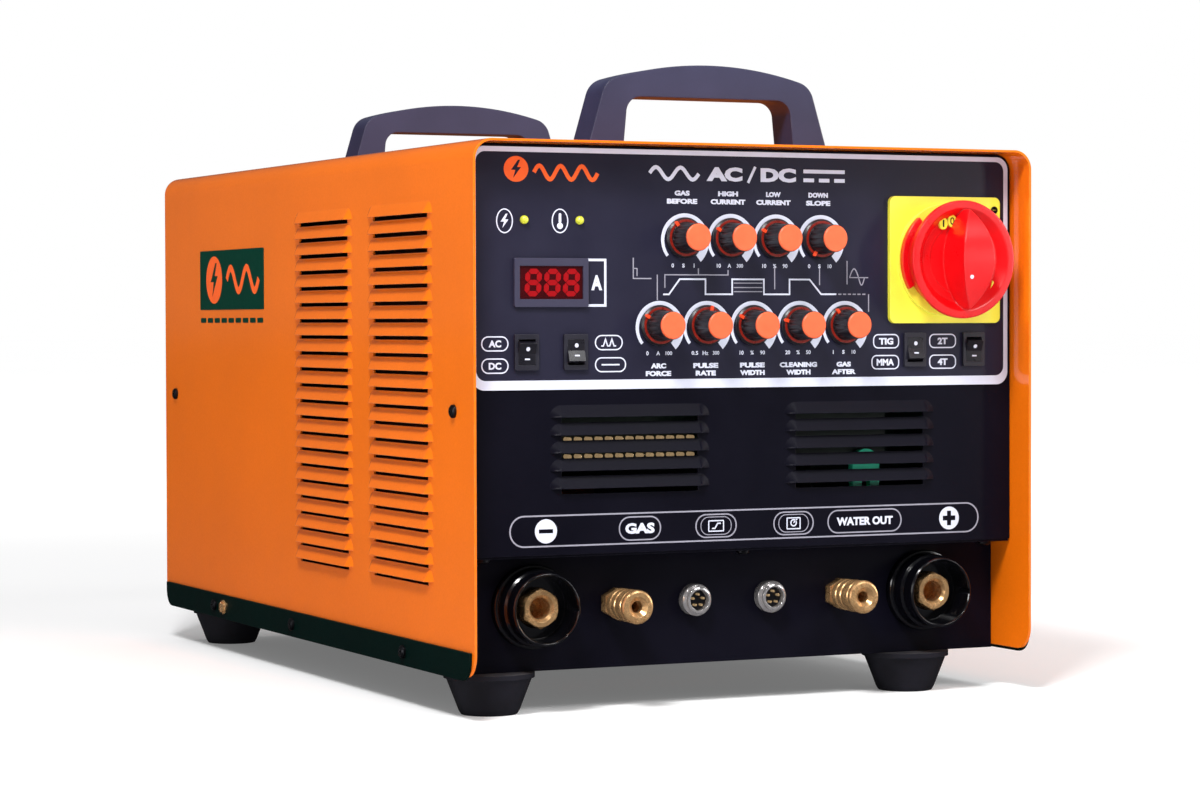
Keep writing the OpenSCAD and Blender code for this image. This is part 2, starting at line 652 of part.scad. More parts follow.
module socket_contacts() color("goldenrod") for (s = sides) socket_contact(s * socket_x);
outlet_r = 7;                      // stem of a quick coupling
outlet_nose = [[0, 30.6], [9.7, 30.6], [10.2, 31.1], [10.2, 33.6], [9.6, 34.6], [8.6, 35],
  [0, 35]];
outlet_mouth = [[0, 32.6], [3.6, 32.6], [6.3, 35], [6.3, 36], [0, 36]];
sleeve_section = [[outlet_r + clear, 9.4], [9, 9.4], [9.7, 10.2], [9.7, 14.6], [9.2, 15.2],
  [9.2, 16.2], [9.7, 16.8], [9.7, 20.6], [9.2, 21.2], [9.2, 22.2], [10, 23], [10, 29.6],
  [9.5, 30.2], [outlet_r + clear, 30.2]];
module outlet_fitting(x) difference() {
  union() {
    hex_rod(x, conn_z, conn_y - 6, conn_y, 16.4);
    rod_y(x, conn_z, conn_y - 33, conn_y, outlet_r);
    rod_y(x, conn_z, conn_y, conn_y + 14, outlet_r);
    hex_rod(x, conn_z, conn_y + sheet_t, conn_y + sheet_t + 5, 19);
    turned_front(x, conn_y, conn_z) polygon(outlet_nose);
  }
  rod_y(x, conn_z, conn_y - 40, conn_y + 20, 2.2);
  rod_y(x, conn_z, conn_y - 40, conn_y - 14, 3.6);
  turned_front(x, conn_y, conn_z) polygon(outlet_mouth);
}
module outlet_fittings() color("goldenrod") for (x = [gas_x, water_x]) outlet_fitting(x);
module outlet_sleeve(x) turned_front(x, conn_y, conn_z) polygon(sleeve_section);
module gas_outlet_sleeve() color("goldenrod") outlet_sleeve(gas_x);
module water_outlet_sleeve() color("goldenrod") outlet_sleeve(water_x);
module control_socket_shells() color("silver") for (s = sides)
  turned_front(s * control_x, conn_y, conn_z)
    polygon([[6.3, -10], [8, -10], [8, 0], [9.8, 0], [9.8, 5.4],
      [9, 6.2], [8.2, 6.2], [7.9, 8.6], [7.2, 9], [6.3, 9]]);
module control_socket_inserts() color("black") for (s = sides)
  turned_front(s * control_x, conn_y, conn_z)
    polygon([[0, -9], [6.2, -9], [6.2, 4.6], [0, 4.6]]);
// five pins on a circle in each control socket
module control_socket_pins() color("gold") for (s = sides, i = [0:4]) {
  angle = 90 + i * 72;
  rod_y(s * control_x + 3.6 * cos(angle), conn_z + 3.6 * sin(angle),
    conn_y - 7.6, conn_y - 4.6, 0.7);
}

// ---------- rear ----------
fan_hub_r = 26;
fan_shaft_r = 3;
module fan_frame() color("dimgray") difference() {
  union() {
    difference() {
      plate_y(rear_panel_y, fan_depth) translate([0, fan_z]) rounded_rect(fan_side, fan_side, 8);
      rod_y(0, fan_z, fan_y - 1, rear_panel_y + 1, fan_r);
    }
    // motor mount on four arms
    rod_y(0, fan_z, fan_y, fan_y + 9, fan_hub_r);
    for (i = [0:3]) translate([0, fan_y, fan_z]) rotate([0, 45 + i * 90, 0])
      translate([20, 0, -3]) cube([fan_r - 18, 5, 6]);
  }
  rod_y(0, fan_z, fan_y - 1, fan_y + 12, fan_shaft_r + clear);
  at_fan_screws() rod_y(0, 0, fan_y - 1, rear_panel_y + 1, 2.2);
}
module fan_rotor() color("black") {
  rod_y(0, fan_z, fan_y + 10, fan_y + 33, fan_hub_r);
  rod_y(0, fan_z, fan_y + 1, fan_y + 11, fan_shaft_r);
  for (i = [0:fan_blades - 1]) translate([0, fan_y + 21.5, fan_z])
    rotate([0, i * 360 / fan_blades, 0]) rotate([35, 0, 0]) translate([24, -12, -1])
      cube([47, 24, 2]);
}
// four wire rings on two crossed wires, with screw eyes and end tabs
module fan_guard() color("silver") difference() {
  union() {
    for (r = [22, 38, 54, 70]) turned_back(0, rear_face_y + 5.4, fan_z) translate([r, 0])
      circle(1.3, $fn = 24);
    for (a = [45, 135]) translate([0, rear_face_y + 3.2, fan_z]) rotate([0, a, 0])
      translate([-96, 0, 0]) rotate([0, 90, 0]) cylinder(h = 192, r = 1.5, $fn = 24);
    at_fan_screws() rod_y(0, 0, rear_face_y, rear_face_y + 2, 6);
    for (a = [45:90:315]) translate([0, rear_face_y, fan_z]) rotate([0, a, 0])
      translate([94, 0, -2]) cube([5, 4, 4]);
  }
  at_fan_screws() {
    rod_y(0, 0, rear_panel_y, rear_face_y + 12, 2.2);
    rod_y(0, 0, rear_face_y + 2, rear_face_y + 12, 4.3);
  }
}
module mains_gland() color("black") {
  thread_r = 10;
  difference() {
    union() {
      hex_rod(cable_x, inlet_z, rear_face_y, rear_face_y + 6, 24);
      rod_y(cable_x, inlet_z, rear_panel_y - 10, rear_face_y, thread_r);
      turned_back(cable_x, rear_face_y, inlet_z)
        polygon([[0, 6], [12, 6], [12, 15], [9, 20], [0, 20]]);
    }
    rod_y(cable_x, inlet_z, rear_panel_y - 11, rear_panel_y + 30, 6.6);
  }
  // lock nut inside the panel
  difference() {
    hex_rod(cable_x, inlet_z, rear_panel_y - 5, rear_panel_y, 24);
    rod_y(cable_x, inlet_z, rear_panel_y - 6, rear_panel_y + 1, thread_r + 0.1);
  }
}
// short tail of the mains lead, ending as far behind the origin as the isolator grip is in front
module mains_cable() color("black")
  rod_y(cable_x, inlet_z, rear_panel_y - 22, iso_grip - iso_y, 6.5);
// barbed hose tail: radius, distance behind the rear panel
hose_tail = [[0, 6], [3.8, 6], [4.6, 9], [3.8, 12], [4.6, 15], [3.8, 18], [4.6, 21],
  [3.6, 25], [0, 25]];
module inlet_fittings() color("goldenrod") for (x = inlet_xs) difference() {
  union() {
    hex_rod(x, inlet_z, rear_face_y, rear_face_y + 6, 14);
    rod_y(x, inlet_z, rear_panel_y - 10, rear_face_y, 5);
    turned_back(x, rear_face_y, inlet_z) polygon(hose_tail);
  }
  rod_y(x, inlet_z, rear_panel_y - 12, rear_panel_y + 40, 2.4);
}

// ---------- inside ----------
module at_terminal_pins() for (i = [0:pin_cols - 1], row = [0, 1])
  translate([pin_x + i * pin_pitch, 0, pin_z - row * pin_row_gap]) children();
module control_board() color("darkgreen") difference() {
  union() {
    translate([-165, board_y, tray_z + 122]) cube([272, pcb_t, 182]);
    // five blocks on the back
    for (i = [0:4]) translate([-150 + i * 48, board_y + pcb_t, tray_z + 150]) cube([14, 6, 22]);
  }
  at_terminal_pins() rod_y(0, 0, board_y - 1, board_y + 3, 1.4);
}
module terminal_pins() color("gold")
  at_terminal_pins() rod_y(0, 0, board_y - 6, board_y + 2.4, 1.3);
module power_board() color("seagreen") {
  // right and left boards
  translate([70, -225, tray_z + 20]) cube([pcb_t, 380, 270]);
  translate([-151.6, -130, tray_z + 45]) cube([pcb_t, 260, 250]);
  // blocks on the left face of the right board, plates on its right face
  for (i = [0:3]) translate([52, -218 + i * 28, tray_z + 112]) cube([18, 12, 26]);
  for (i = [0:6]) translate([70 + pcb_t, -218 + i * 46, tray_z + 50]) cube([100, 3, 200]);
  // coil on the control board, seen through the right vent
  plate_y(board_y, 5.5) translate([90.2, tray_z + 114.3]) difference() {
    union() {
      square([19, 11.5], center = true);
      for (s = sides) translate([0, s * 5.75]) circle(9.5);
    }
    translate([-3, -9.3]) square([6, 9]);
  }
}
module main_transformer() color("peru") {
  // core with two windows
  difference() {
    translate([-110, -30, tray_z + sheet_t]) cube([120, 70, 100]);
    for (i = [0, 1]) translate([-90 + i * 50, -31, tray_z + 21.5]) cube([30, 72, 60]);
  }
  // winding round the middle limb
  difference() {
    translate([-88, -58, tray_z + 23]) cube([76, 126, 57]);
    translate([-60.5, -30.5, tray_z + 22]) cube([21, 71, 59]);
  }
}

/* [Output] */
// Part to build
cover_shell();
base_tray();
front_panel();
connector_panel();
rear_panel();
control_overlay();
front_handle();
rear_handle();
handle_bolts();
case_screws();
earth_screw();
rubber_feet();
meter_bezel();
meter_display();
indicator_leds();
rocker_frames();
polarity_rocker();
pulse_rocker();
process_rocker();
trigger_rocker();
pre_flow_knob();
peak_current_knob();
base_current_knob();
down_slope_knob();
arc_force_knob();
pulse_frequency_knob();
pulse_width_knob();
cleaning_width_knob();
post_flow_knob();
pre_flow_cap();
peak_current_cap();
base_current_cap();
down_slope_cap();
arc_force_cap();
pulse_frequency_cap();
pulse_width_cap();
cleaning_width_cap();
post_flow_cap();
potentiometers();
isolator_plate();
isolator_handle();
isolator_switch();
socket_shells();
socket_contacts();
outlet_fittings();
gas_outlet_sleeve();
water_outlet_sleeve();
control_socket_shells();
control_socket_inserts();
control_socket_pins();
fan_frame();
fan_rotor();
fan_guard();
mains_gland();
mains_cable();
inlet_fittings();
control_board();
terminal_pins();
power_board();
main_transformer();
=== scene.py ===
"""TIG welding machine: finishes, printed legends, light and camera for its CAD frame.

The control panel faces -Y, +X is to the right of someone facing it and +Z is up. The floor is
z = 0. Prints and marks are laid out in millimetres, the scene itself is in metres.
"""

import json
import math
from functools import cache

import bmesh
import bpy
from mathutils import Matrix, Vector
from mathutils.geometry import tessellate_polygon

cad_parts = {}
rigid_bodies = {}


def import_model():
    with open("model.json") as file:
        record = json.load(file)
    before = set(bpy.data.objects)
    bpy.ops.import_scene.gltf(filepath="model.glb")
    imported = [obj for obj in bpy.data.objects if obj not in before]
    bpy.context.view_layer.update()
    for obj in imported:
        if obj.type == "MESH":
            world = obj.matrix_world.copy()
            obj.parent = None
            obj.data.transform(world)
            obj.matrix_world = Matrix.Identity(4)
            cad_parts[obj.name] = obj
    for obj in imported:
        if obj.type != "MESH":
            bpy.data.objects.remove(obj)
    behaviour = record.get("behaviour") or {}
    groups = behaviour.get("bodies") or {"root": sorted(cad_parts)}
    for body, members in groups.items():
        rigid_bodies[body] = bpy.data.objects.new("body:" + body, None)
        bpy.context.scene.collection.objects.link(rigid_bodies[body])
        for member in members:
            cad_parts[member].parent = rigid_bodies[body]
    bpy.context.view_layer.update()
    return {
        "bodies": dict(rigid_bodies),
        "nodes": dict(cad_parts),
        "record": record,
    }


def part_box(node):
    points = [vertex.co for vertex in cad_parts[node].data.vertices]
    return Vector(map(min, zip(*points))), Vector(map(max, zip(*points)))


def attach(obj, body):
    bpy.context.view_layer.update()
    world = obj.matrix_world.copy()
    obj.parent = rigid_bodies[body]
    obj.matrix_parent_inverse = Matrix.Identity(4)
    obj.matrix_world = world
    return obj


MM = 0.001  # one millimetre in metres
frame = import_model()
scene = bpy.context.scene
BODIES = frame["record"]["behaviour"]["bodies"]  # body name: its CAD nodes


# ---------------------------------------------------------------- places in the CAD frame, mm
def low(node):
    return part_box(node)[0] / MM


def high(node):
    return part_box(node)[1] / MM


def mid(node):
    box_low, box_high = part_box(node)
    return (box_low + box_high) / 2 / MM


def body_of(node):
    """The moving body that a CAD node belongs to."""
    return next(body for body, members in BODIES.items() if node in members)


OVERLAY_Y = low("control_overlay").y   # face of the printed sheet
PANEL_Y = high("control_overlay").y    # face of the panel behind it


# ---------------------------------------------------------------- shader nodes
def srgb(red, green, blue):
    """Linear colour from 8-bit sRGB."""
    def linear(value):
        value /= 255.0
        return value / 12.92 if value <= 0.04045 else ((value + 0.055) / 1.055) ** 2.4
    return (linear(red), linear(green), linear(blue), 1.0)


def scaled(colour, factor):
    return tuple(min(1, channel * factor) for channel in colour[:3]) + (1.0,)


def feed(node, inputs):
    """Link or set the inputs of a node, by name or index."""
    for key, value in inputs.items():
        if isinstance(value, bpy.types.NodeSocket):
            node.id_data.links.new(value, node.inputs[key])
        else:
            node.inputs[key].default_value = value


def add_node(tree, kind, inputs=None, **settings):
    node = tree.nodes.new("ShaderNode" + kind)
    for name, value in settings.items():
        setattr(node, name, value)
    feed(node, inputs or {})
    return node


class Shader:
    """A material with one Principled shader, and short calls for the nodes that feed it."""

    def __init__(self, name):
        self.material = bpy.data.materials.new(name)
        self.material.use_nodes = True
        self.tree = self.material.node_tree
        self.tree.nodes.clear()
        output = self.add("OutputMaterial")
        self.surface = self.add("BsdfPrincipled")
        feed(output, {"Surface": self.surface.outputs["BSDF"]})
        self.place = self.add("TexCoord").outputs["Object"]

    def add(self, kind, inputs=None, **settings):
        return add_node(self.tree, kind, inputs, **settings)

    def noise(self, size_mm, detail, roughness=0.55, stretch=None):
        place = self.place
        if stretch:
            place = self.add("Mapping", {"Scale": stretch, "Vector": place}).outputs["Vector"]
        return self.add("TexNoise", {"Scale": 1.0 / (size_mm * MM), "Detail": detail,
                                     "Roughness": roughness, "Vector": place}).outputs["Fac"]

    def cells(self, size_mm):
        return self.add("TexVoronoi", {"Scale": 1.0 / (size_mm * MM), "Vector": self.place},
                        feature="SMOOTH_F1").outputs["Distance"]

    def remap(self, value, source, target, smooth=False):
        return self.add("MapRange", {"From Min": source[0], "From Max": source[1],
                                     "To Min": target[0], "To Max": target[1], "Value": value},
                        interpolation_type="SMOOTHSTEP" if smooth else "LINEAR").outputs["Result"]

    def math(self, operation, a, b, clamp=False):
        return self.add("Math", {0: a, 1: b}, operation=operation, use_clamp=clamp).outputs[0]

    def mix(self, amount, a, b):
        return self.add("Mix", {0: amount, 6: a, 7: b}, data_type="RGBA").outputs[2]

    def zone(self, colour, box_low, box_high, rgb):
        """Another colour inside the box between two corners (mm)."""
        centre = [(a + b) / 2 * MM for a, b in zip(box_low, box_high)]
        place = self.add("TexCoord").outputs["Object"]
        offset = self.add("VectorMath", {0: place, 1: centre}, operation="SUBTRACT").outputs[0]
        distance = self.add("VectorMath", {0: offset}, operation="ABSOLUTE").outputs[0]
        axes = self.add("SeparateXYZ", {0: distance}).outputs
        in_x, in_y, in_z = [
            self.math("LESS_THAN", axes[i], (box_high[i] - box_low[i]) / 2 * MM)
            for i in range(3)]
        inside = self.math("MULTIPLY", self.math("MULTIPLY", in_x, in_y), in_z)
        return self.mix(inside, colour, srgb(*rgb))


# ---------------------------------------------------------------- layers of a finish
DUST = (0.45, 0.43, 0.40, 1)


def mottle(shader, colour, broad, fine, vary, vary_mm, tint):
    """Broad light and dark patches, an optional second tint, and a dark grain."""
    base = shader.mix(shader.remap(broad, source=(0.3, 0.7), target=(0, 1)),
                      scaled(colour, 1 - vary), scaled(colour, 1 + vary))
    if tint:
        patches = shader.noise(size_mm=vary_mm * 0.31, detail=3.0)
        base = shader.mix(shader.remap(patches, source=(0.45, 0.75), target=(0, 0.5)),
                          base, srgb(*tint))
    return shader.mix(shader.remap(fine, source=(0.35, 0.75), target=(0.0, 0.22)),
                      base, scaled(colour, 0.72))


def rub_edges(shader, base, rounded, wear, wear_amt):
    """Broken wear colour where the rounded normal leaves the true one."""
    geometry = shader.add("NewGeometry")
    facing = shader.add("VectorMath", {0: rounded, 1: geometry.outputs["Normal"]},
                        operation="DOT_PRODUCT").outputs["Value"]
    edge = shader.remap(facing, source=(0.99, 0.80), target=(0.0, 1.0))
    broken = shader.remap(shader.noise(size_mm=6, detail=5.0, roughness=0.7),
                          source=(0.42, 0.66), target=(0.15, 1.0))
    rubbed = shader.math("MULTIPLY", edge, broken)
    return shader.mix(shader.math("MULTIPLY", rubbed, wear_amt, clamp=True), base, srgb(*wear))


def lay_dust(shader, base, roughness, dust):
    """Patchy pale matt dust on faces that look up."""
    normal = shader.add("NewGeometry").outputs["Normal"]
    upward = shader.add("SeparateXYZ", {0: normal}).outputs["Z"]
    patches = shader.noise(size_mm=14, detail=6.0, roughness=0.7)
    layer = shader.math("MULTIPLY",
                        shader.remap(upward, source=(0.3, 1.0), target=(0.0, dust)),
                        shader.remap(patches, source=(0.35, 0.7), target=(0.2, 1.0)))
    return (shader.mix(layer, base, DUST),
            shader.math("ADD", roughness, shader.math("MULTIPLY", layer, 0.5), clamp=True))


def finish(name, rgb, rough=0.4, rough_vary=0.08, metal=0.0, spec=0.5, vary=0.10, vary_mm=45,
           tint=None, grain_mm=0.8, stretch=None, cell_mm=None, bump=0.12, bump_mm=0.05,
           edge_mm=0.5, wear=None, wear_amt=0.5, dust=0.0, coat=0.0, coat_rough=0.15,
           coat_ior=1.5, glow=0.0, sub=0.0, zones=()):
    """One finish: mottled colour, uneven gloss, fine surface relief, rounded and rubbed edges."""
    shader = Shader(name)
    broad = shader.noise(size_mm=vary_mm, detail=5.0, roughness=0.6)
    fine = shader.noise(size_mm=grain_mm, detail=3.0, roughness=0.6, stretch=stretch)
    rounded = shader.add("Bevel", {"Radius": edge_mm * MM}, samples=4).outputs["Normal"]

    base = mottle(shader, srgb(*rgb), broad, fine, vary, vary_mm, tint)
    unevenness = shader.math("ADD", shader.math("MULTIPLY", broad, 0.6),
                             shader.math("MULTIPLY", fine, 0.4))
    roughness = shader.remap(unevenness, source=(0.3, 0.7),
                             target=(max(0.02, rough - rough_vary), min(1, rough + rough_vary)))
    if wear:
        base = rub_edges(shader, base, rounded, wear, wear_amt)
    if dust:
        base, roughness = lay_dust(shader, base, roughness, dust)

    height = fine
    if cell_mm:
        pebbles = shader.remap(shader.cells(cell_mm), source=(0.0, 0.9), target=(1.0, 0.0))
        height = shader.math("ADD", shader.math("MULTIPLY", fine, 0.35), pebbles)
    relief = shader.add("Bump", {"Strength": bump, "Distance": bump_mm * MM, "Height": height,
                                 "Normal": rounded})
    if glow:
        feed(shader.surface, {"Emission Color": base, "Emission Strength": glow})
    if sub:
        feed(shader.surface, {"Subsurface Weight": sub,
                              "Subsurface Radius": (0.004, 0.002, 0.001)})
    for box_low, box_high, zone_rgb in zones:
        base = shader.zone(base, box_low, box_high, zone_rgb)
    feed(shader.surface, {
        "Base Color": base, "Roughness": roughness, "Normal": relief.outputs["Normal"],
        "Metallic": metal, "Specular IOR Level": spec,
        "Coat Weight": coat, "Coat Roughness": coat_rough, "Coat IOR": coat_ior})
    return shader.material


# ---------------------------------------------------------------- table of finishes
# rgb, tint and wear are 8-bit sRGB: body colour, patches in it, and colour of rubbed edges.
# vary and vary_mm: strength and size of the mottling; rough_vary: spread of the roughness.
# grain_mm, stretch, cell_mm, bump, bump_mm: size, axis scale, pebbles, strength, depth of relief.
# edge_mm: radius the edges seem to have; wear_amt, dust, glow, coat, sub: amounts of each. glow
# lights the display, the digits and the LED, and is painted light on the gold contacts.
# zones: (low corner, high corner, rgb) of boxes in another colour, mm.
INK = dict(grain_mm=0.3, bump=0.10, bump_mm=0.02, edge_mm=0.05, spec=0.3)
FINISHES = {
    "orange_enamel": dict(
        rgb=(244, 116, 10), rough=0.50, rough_vary=0.06, spec=0.05, vary=0.05, vary_mm=110,
        grain_mm=1.4, bump=0.16, edge_mm=0.9, wear=(255, 205, 160), wear_amt=0.30,
        coat=1.0, coat_rough=0.10, coat_ior=1.6),
    "tray_enamel": dict(
        rgb=(0, 24, 20), rough=0.42, spec=0.07, vary=0.20, vary_mm=60, grain_mm=1.2,
        bump=0.15, edge_mm=0.8, wear=(50, 80, 72), wear_amt=0.30, dust=0.02),
    "black_enamel": dict(
        rgb=(11, 10, 22), rough=0.42, spec=0.08, vary=0.18, vary_mm=70, grain_mm=0.9,
        bump=0.18, edge_mm=0.7, wear=(86, 84, 100), wear_amt=0.30),
    "overlay_film": dict(
        rgb=(33, 32, 51), rough=0.38, spec=0.25, vary=0.12, vary_mm=50, grain_mm=0.35,
        bump=0.10, bump_mm=0.02, edge_mm=0.25, wear=(120, 118, 135), wear_amt=0.3),
    "handle_plastic": dict(
        rgb=(44, 46, 78), rough=0.50, vary=0.12, vary_mm=35, grain_mm=0.7, cell_mm=0.9,
        bump=0.35, bump_mm=0.06, edge_mm=1.2, wear=(120, 118, 132), wear_amt=0.25, dust=0.08),
    "zinc_steel": dict(
        rgb=(176, 180, 184), rough=0.34, rough_vary=0.14, metal=1.0, vary=0.14, vary_mm=12,
        tint=(196, 190, 160), grain_mm=0.5, bump=0.10, edge_mm=0.3),
    "black_screw": dict(
        rgb=(26, 26, 30), rough=0.38, metal=0.75, vary=0.2, vary_mm=5, grain_mm=0.4,
        bump=0.15, edge_mm=0.25, wear=(120, 120, 124), wear_amt=0.6),
    "brass": dict(
        rgb=(224, 178, 124), rough=0.25, rough_vary=0.10, metal=0.72, vary=0.16, vary_mm=9,
        tint=(160, 104, 56), grain_mm=0.35, bump_mm=0.03, edge_mm=0.35,
        wear=(248, 224, 186), wear_amt=0.6),
    "foot_rubber": dict(
        rgb=(23, 22, 31), rough=0.78, spec=0.2, vary=0.25, vary_mm=18, grain_mm=0.6,
        bump=0.35, edge_mm=0.8, wear=(70, 70, 74), wear_amt=0.35, dust=0.10),
    "bezel_plastic": dict(
        rgb=(30, 29, 42), rough=0.42, vary_mm=10, grain_mm=0.3, bump=0.18, edge_mm=0.35,
        wear=(130, 130, 142), wear_amt=0.35,
        # the ammeter bezel is a lighter grey than the rocker bezels
        zones=[((-160, -290, 232), (-80, -250, 300), (54, 52, 74))]),
    "display_plastic": dict(
        rgb=(52, 2, 6), rough=0.12, rough_vary=0.04, vary=0.2, vary_mm=14, grain_mm=0.5,
        bump=0.04, edge_mm=0.2, glow=0.25, coat=0.6, coat_rough=0.05),
    "led_plastic": dict(
        rgb=(196, 200, 62), rough=0.22, rough_vary=0.06, vary=0.16, vary_mm=2, grain_mm=0.6,
        bump=0.05, edge_mm=0.3, glow=0.35, sub=0.3, coat=0.4),
    "rocker_plastic": dict(
        rgb=(24, 23, 31), rough=0.30, vary=0.16, vary_mm=8, grain_mm=0.4, edge_mm=0.45,
        wear=(96, 96, 106), wear_amt=0.3),
    "knob_plastic": dict(
        rgb=(24, 22, 28), rough=0.36, vary=0.18, vary_mm=7, grain_mm=0.4, bump=0.22,
        edge_mm=0.35, wear=(112, 108, 116), wear_amt=0.45),
    "cap_plastic": dict(
        rgb=(240, 98, 52), rough=0.44, vary=0.07, vary_mm=6, grain_mm=0.45, bump=0.22,
        bump_mm=0.04, wear=(255, 170, 130), wear_amt=0.3, sub=0.08),
    "yellow_plastic": dict(
        rgb=(240, 234, 70), rough=0.36, vary=0.05, vary_mm=22, grain_mm=0.6, edge_mm=0.6,
        wear=(255, 250, 180), wear_amt=0.3, sub=0.08),
    "red_plastic": dict(
        rgb=(226, 4, 14), rough=0.32, spec=0.40, vary=0.07, vary_mm=18, grain_mm=0.7,
        edge_mm=1.4, wear=(255, 130, 130), wear_amt=0.25, coat=0.4, coat_rough=0.22),
    "switch_plastic": dict(
        rgb=(46, 48, 50), rough=0.5, vary=0.12, vary_mm=16, grain_mm=0.5, bump=0.15, dust=0.1),
    "socket_plastic": dict(
        rgb=(6, 6, 10), rough=0.14, rough_vary=0.04, spec=0.6, vary=0.2, vary_mm=14,
        grain_mm=0.5, bump=0.08, edge_mm=0.6, wear=(90, 90, 98), wear_amt=0.25),
    "chrome": dict(
        rgb=(206, 202, 202), rough=0.14, rough_vary=0.06, metal=0.75, vary=0.08, vary_mm=6,
        grain_mm=0.4, bump=0.05, edge_mm=0.3, wear=(240, 236, 230), wear_amt=0.3),
    # the glow of the gold contacts is painted light: it brightens the pins that show through the
    # vents
    "gold_contacts": dict(
        rgb=(236, 200, 150), rough=0.25, metal=1.0, vary=0.12, vary_mm=3, grain_mm=0.3,
        bump=0.05, edge_mm=0.15, glow=0.32),
    "fan_plastic": dict(
        rgb=(30, 30, 33), rough=0.5, vary=0.14, vary_mm=20, grain_mm=0.5, bump=0.15, dust=0.2),
    "cable_rubber": dict(
        rgb=(24, 24, 26), rough=0.62, vary=0.16, vary_mm=12, grain_mm=0.5, bump=0.25,
        edge_mm=0.6),
    "dark_board": dict(
        rgb=(8, 30, 20), vary=0.25, vary_mm=9, grain_mm=0.6, bump=0.15, edge_mm=0.2),
    "green_board": dict(
        rgb=(3, 40, 30), vary=0.25, vary_mm=8, grain_mm=0.6, bump=0.15, edge_mm=0.2,
        # black behind the left louvres is painted shade for the dark interior seen through them; a
        # bright green coil behind the right vent
        zones=[((-170, -300, 0), (-140, 300, 400), (7, 6, 9)),
               ((79, -262, 122), (102, -236, 157), (40, 214, 170))]),
    "transformer_core": dict(
        rgb=(96, 66, 44), rough=0.5, vary=0.2, vary_mm=16, stretch=(0.2, 6.0, 0.2),
        bump=0.3, edge_mm=0.4),
    "print_white": dict(INK, rgb=(210, 213, 230), rough=0.55, vary=0.05, vary_mm=9),
    "print_grey": dict(INK, rgb=(150, 148, 162), rough=0.55, vary=0.08, vary_mm=7),
    "print_orange": dict(INK, rgb=(250, 98, 28), rough=0.5, vary=0.06, vary_mm=7),
    "mark_orange": dict(INK, rgb=(252, 74, 30), rough=0.45, vary=0.08, vary_mm=5,
                        edge_mm=0.1, spec=0.4),
    "badge_green": dict(
        rgb=(0, 58, 44), rough=0.42, spec=0.10, vary_mm=20, grain_mm=0.5, bump=0.10,
        bump_mm=0.02, edge_mm=0.15),
    "skirt_red": dict(
        rgb=(132, 26, 14), rough=0.30, vary=0.25, vary_mm=3, grain_mm=0.4, bump_mm=0.02,
        edge_mm=0.15, wear=(250, 110, 70)),
    "segment_red": dict(
        rgb=(142, 3, 12), rough=0.5, spec=0.1, vary=0.06, vary_mm=3, grain_mm=0.4,
        bump=0.03, edge_mm=0.05, glow=0.16),
    "mark_black": dict(INK, rgb=(20, 19, 28), rough=0.5, vary_mm=8),
}
MATERIALS = {name: finish(name, **settings) for name, settings in FINISHES.items()}


# ---------------------------------------------------------------- outlines, (x, z) in mm
def oval(cx, cz, radius_x, radius_z=None, steps=48):
    radius_z = radius_x if radius_z is None else radius_z
    angles = [math.radians(360.0 * i / steps) for i in range(steps)]
    return [(cx + radius_x * math.cos(a), cz + radius_z * math.sin(a)) for a in angles]


def rectangle(x0, x1, z0, z1):
    return [(x0, z0), (x1, z0), (x1, z1), (x0, z1)]


def rounded_rect(x0, x1, z0, z1, radius, steps=8):
    """Anticlockwise from the upper right corner, with steps segments to a corner."""
    outline = []
    for cx, cz, start in ((x1 - radius, z1 - radius, 0), (x0 + radius, z1 - radius, 90),
                          (x0 + radius, z0 + radius, 180), (x1 - radius, z0 + radius, 270)):
        angles = [math.radians(start + 90 * i / steps) for i in range(steps + 1)]
        outline += [(cx + radius * math.cos(a), cz + radius * math.sin(a)) for a in angles]
    return outline


def wave(x0, length, z, height, waves, steps):
    return [(x0 + length * i / steps, z + height * math.sin(i / steps * waves * 2 * math.pi))
            for i in range(steps + 1)]


def shifted(points, cx, cz, scale=1):
    return [(cx + x * scale, cz + z * scale) for x, z in points]


@cache
def glyph_mesh(text, bold):
    """Vertices and polygons of a word in the built-in font; bold is the outline offset."""
    curve = bpy.data.curves.new("word", "FONT")
    curve.body = text
    curve.resolution_u = 3
    curve.offset = bold
    curve.fill_mode = "FRONT"
    obj = bpy.data.objects.new("word", curve)
    scene.collection.objects.link(obj)
    depsgraph = bpy.context.evaluated_depsgraph_get()
    mesh = bpy.data.meshes.new_from_object(obj.evaluated_get(depsgraph))
    points = [v.co.copy() for v in mesh.vertices]
    polygons = [list(p.vertices) for p in mesh.polygons]
    bpy.data.objects.remove(obj)
    bpy.data.curves.remove(curve)
    bpy.data.meshes.remove(mesh)
    return points, polygons


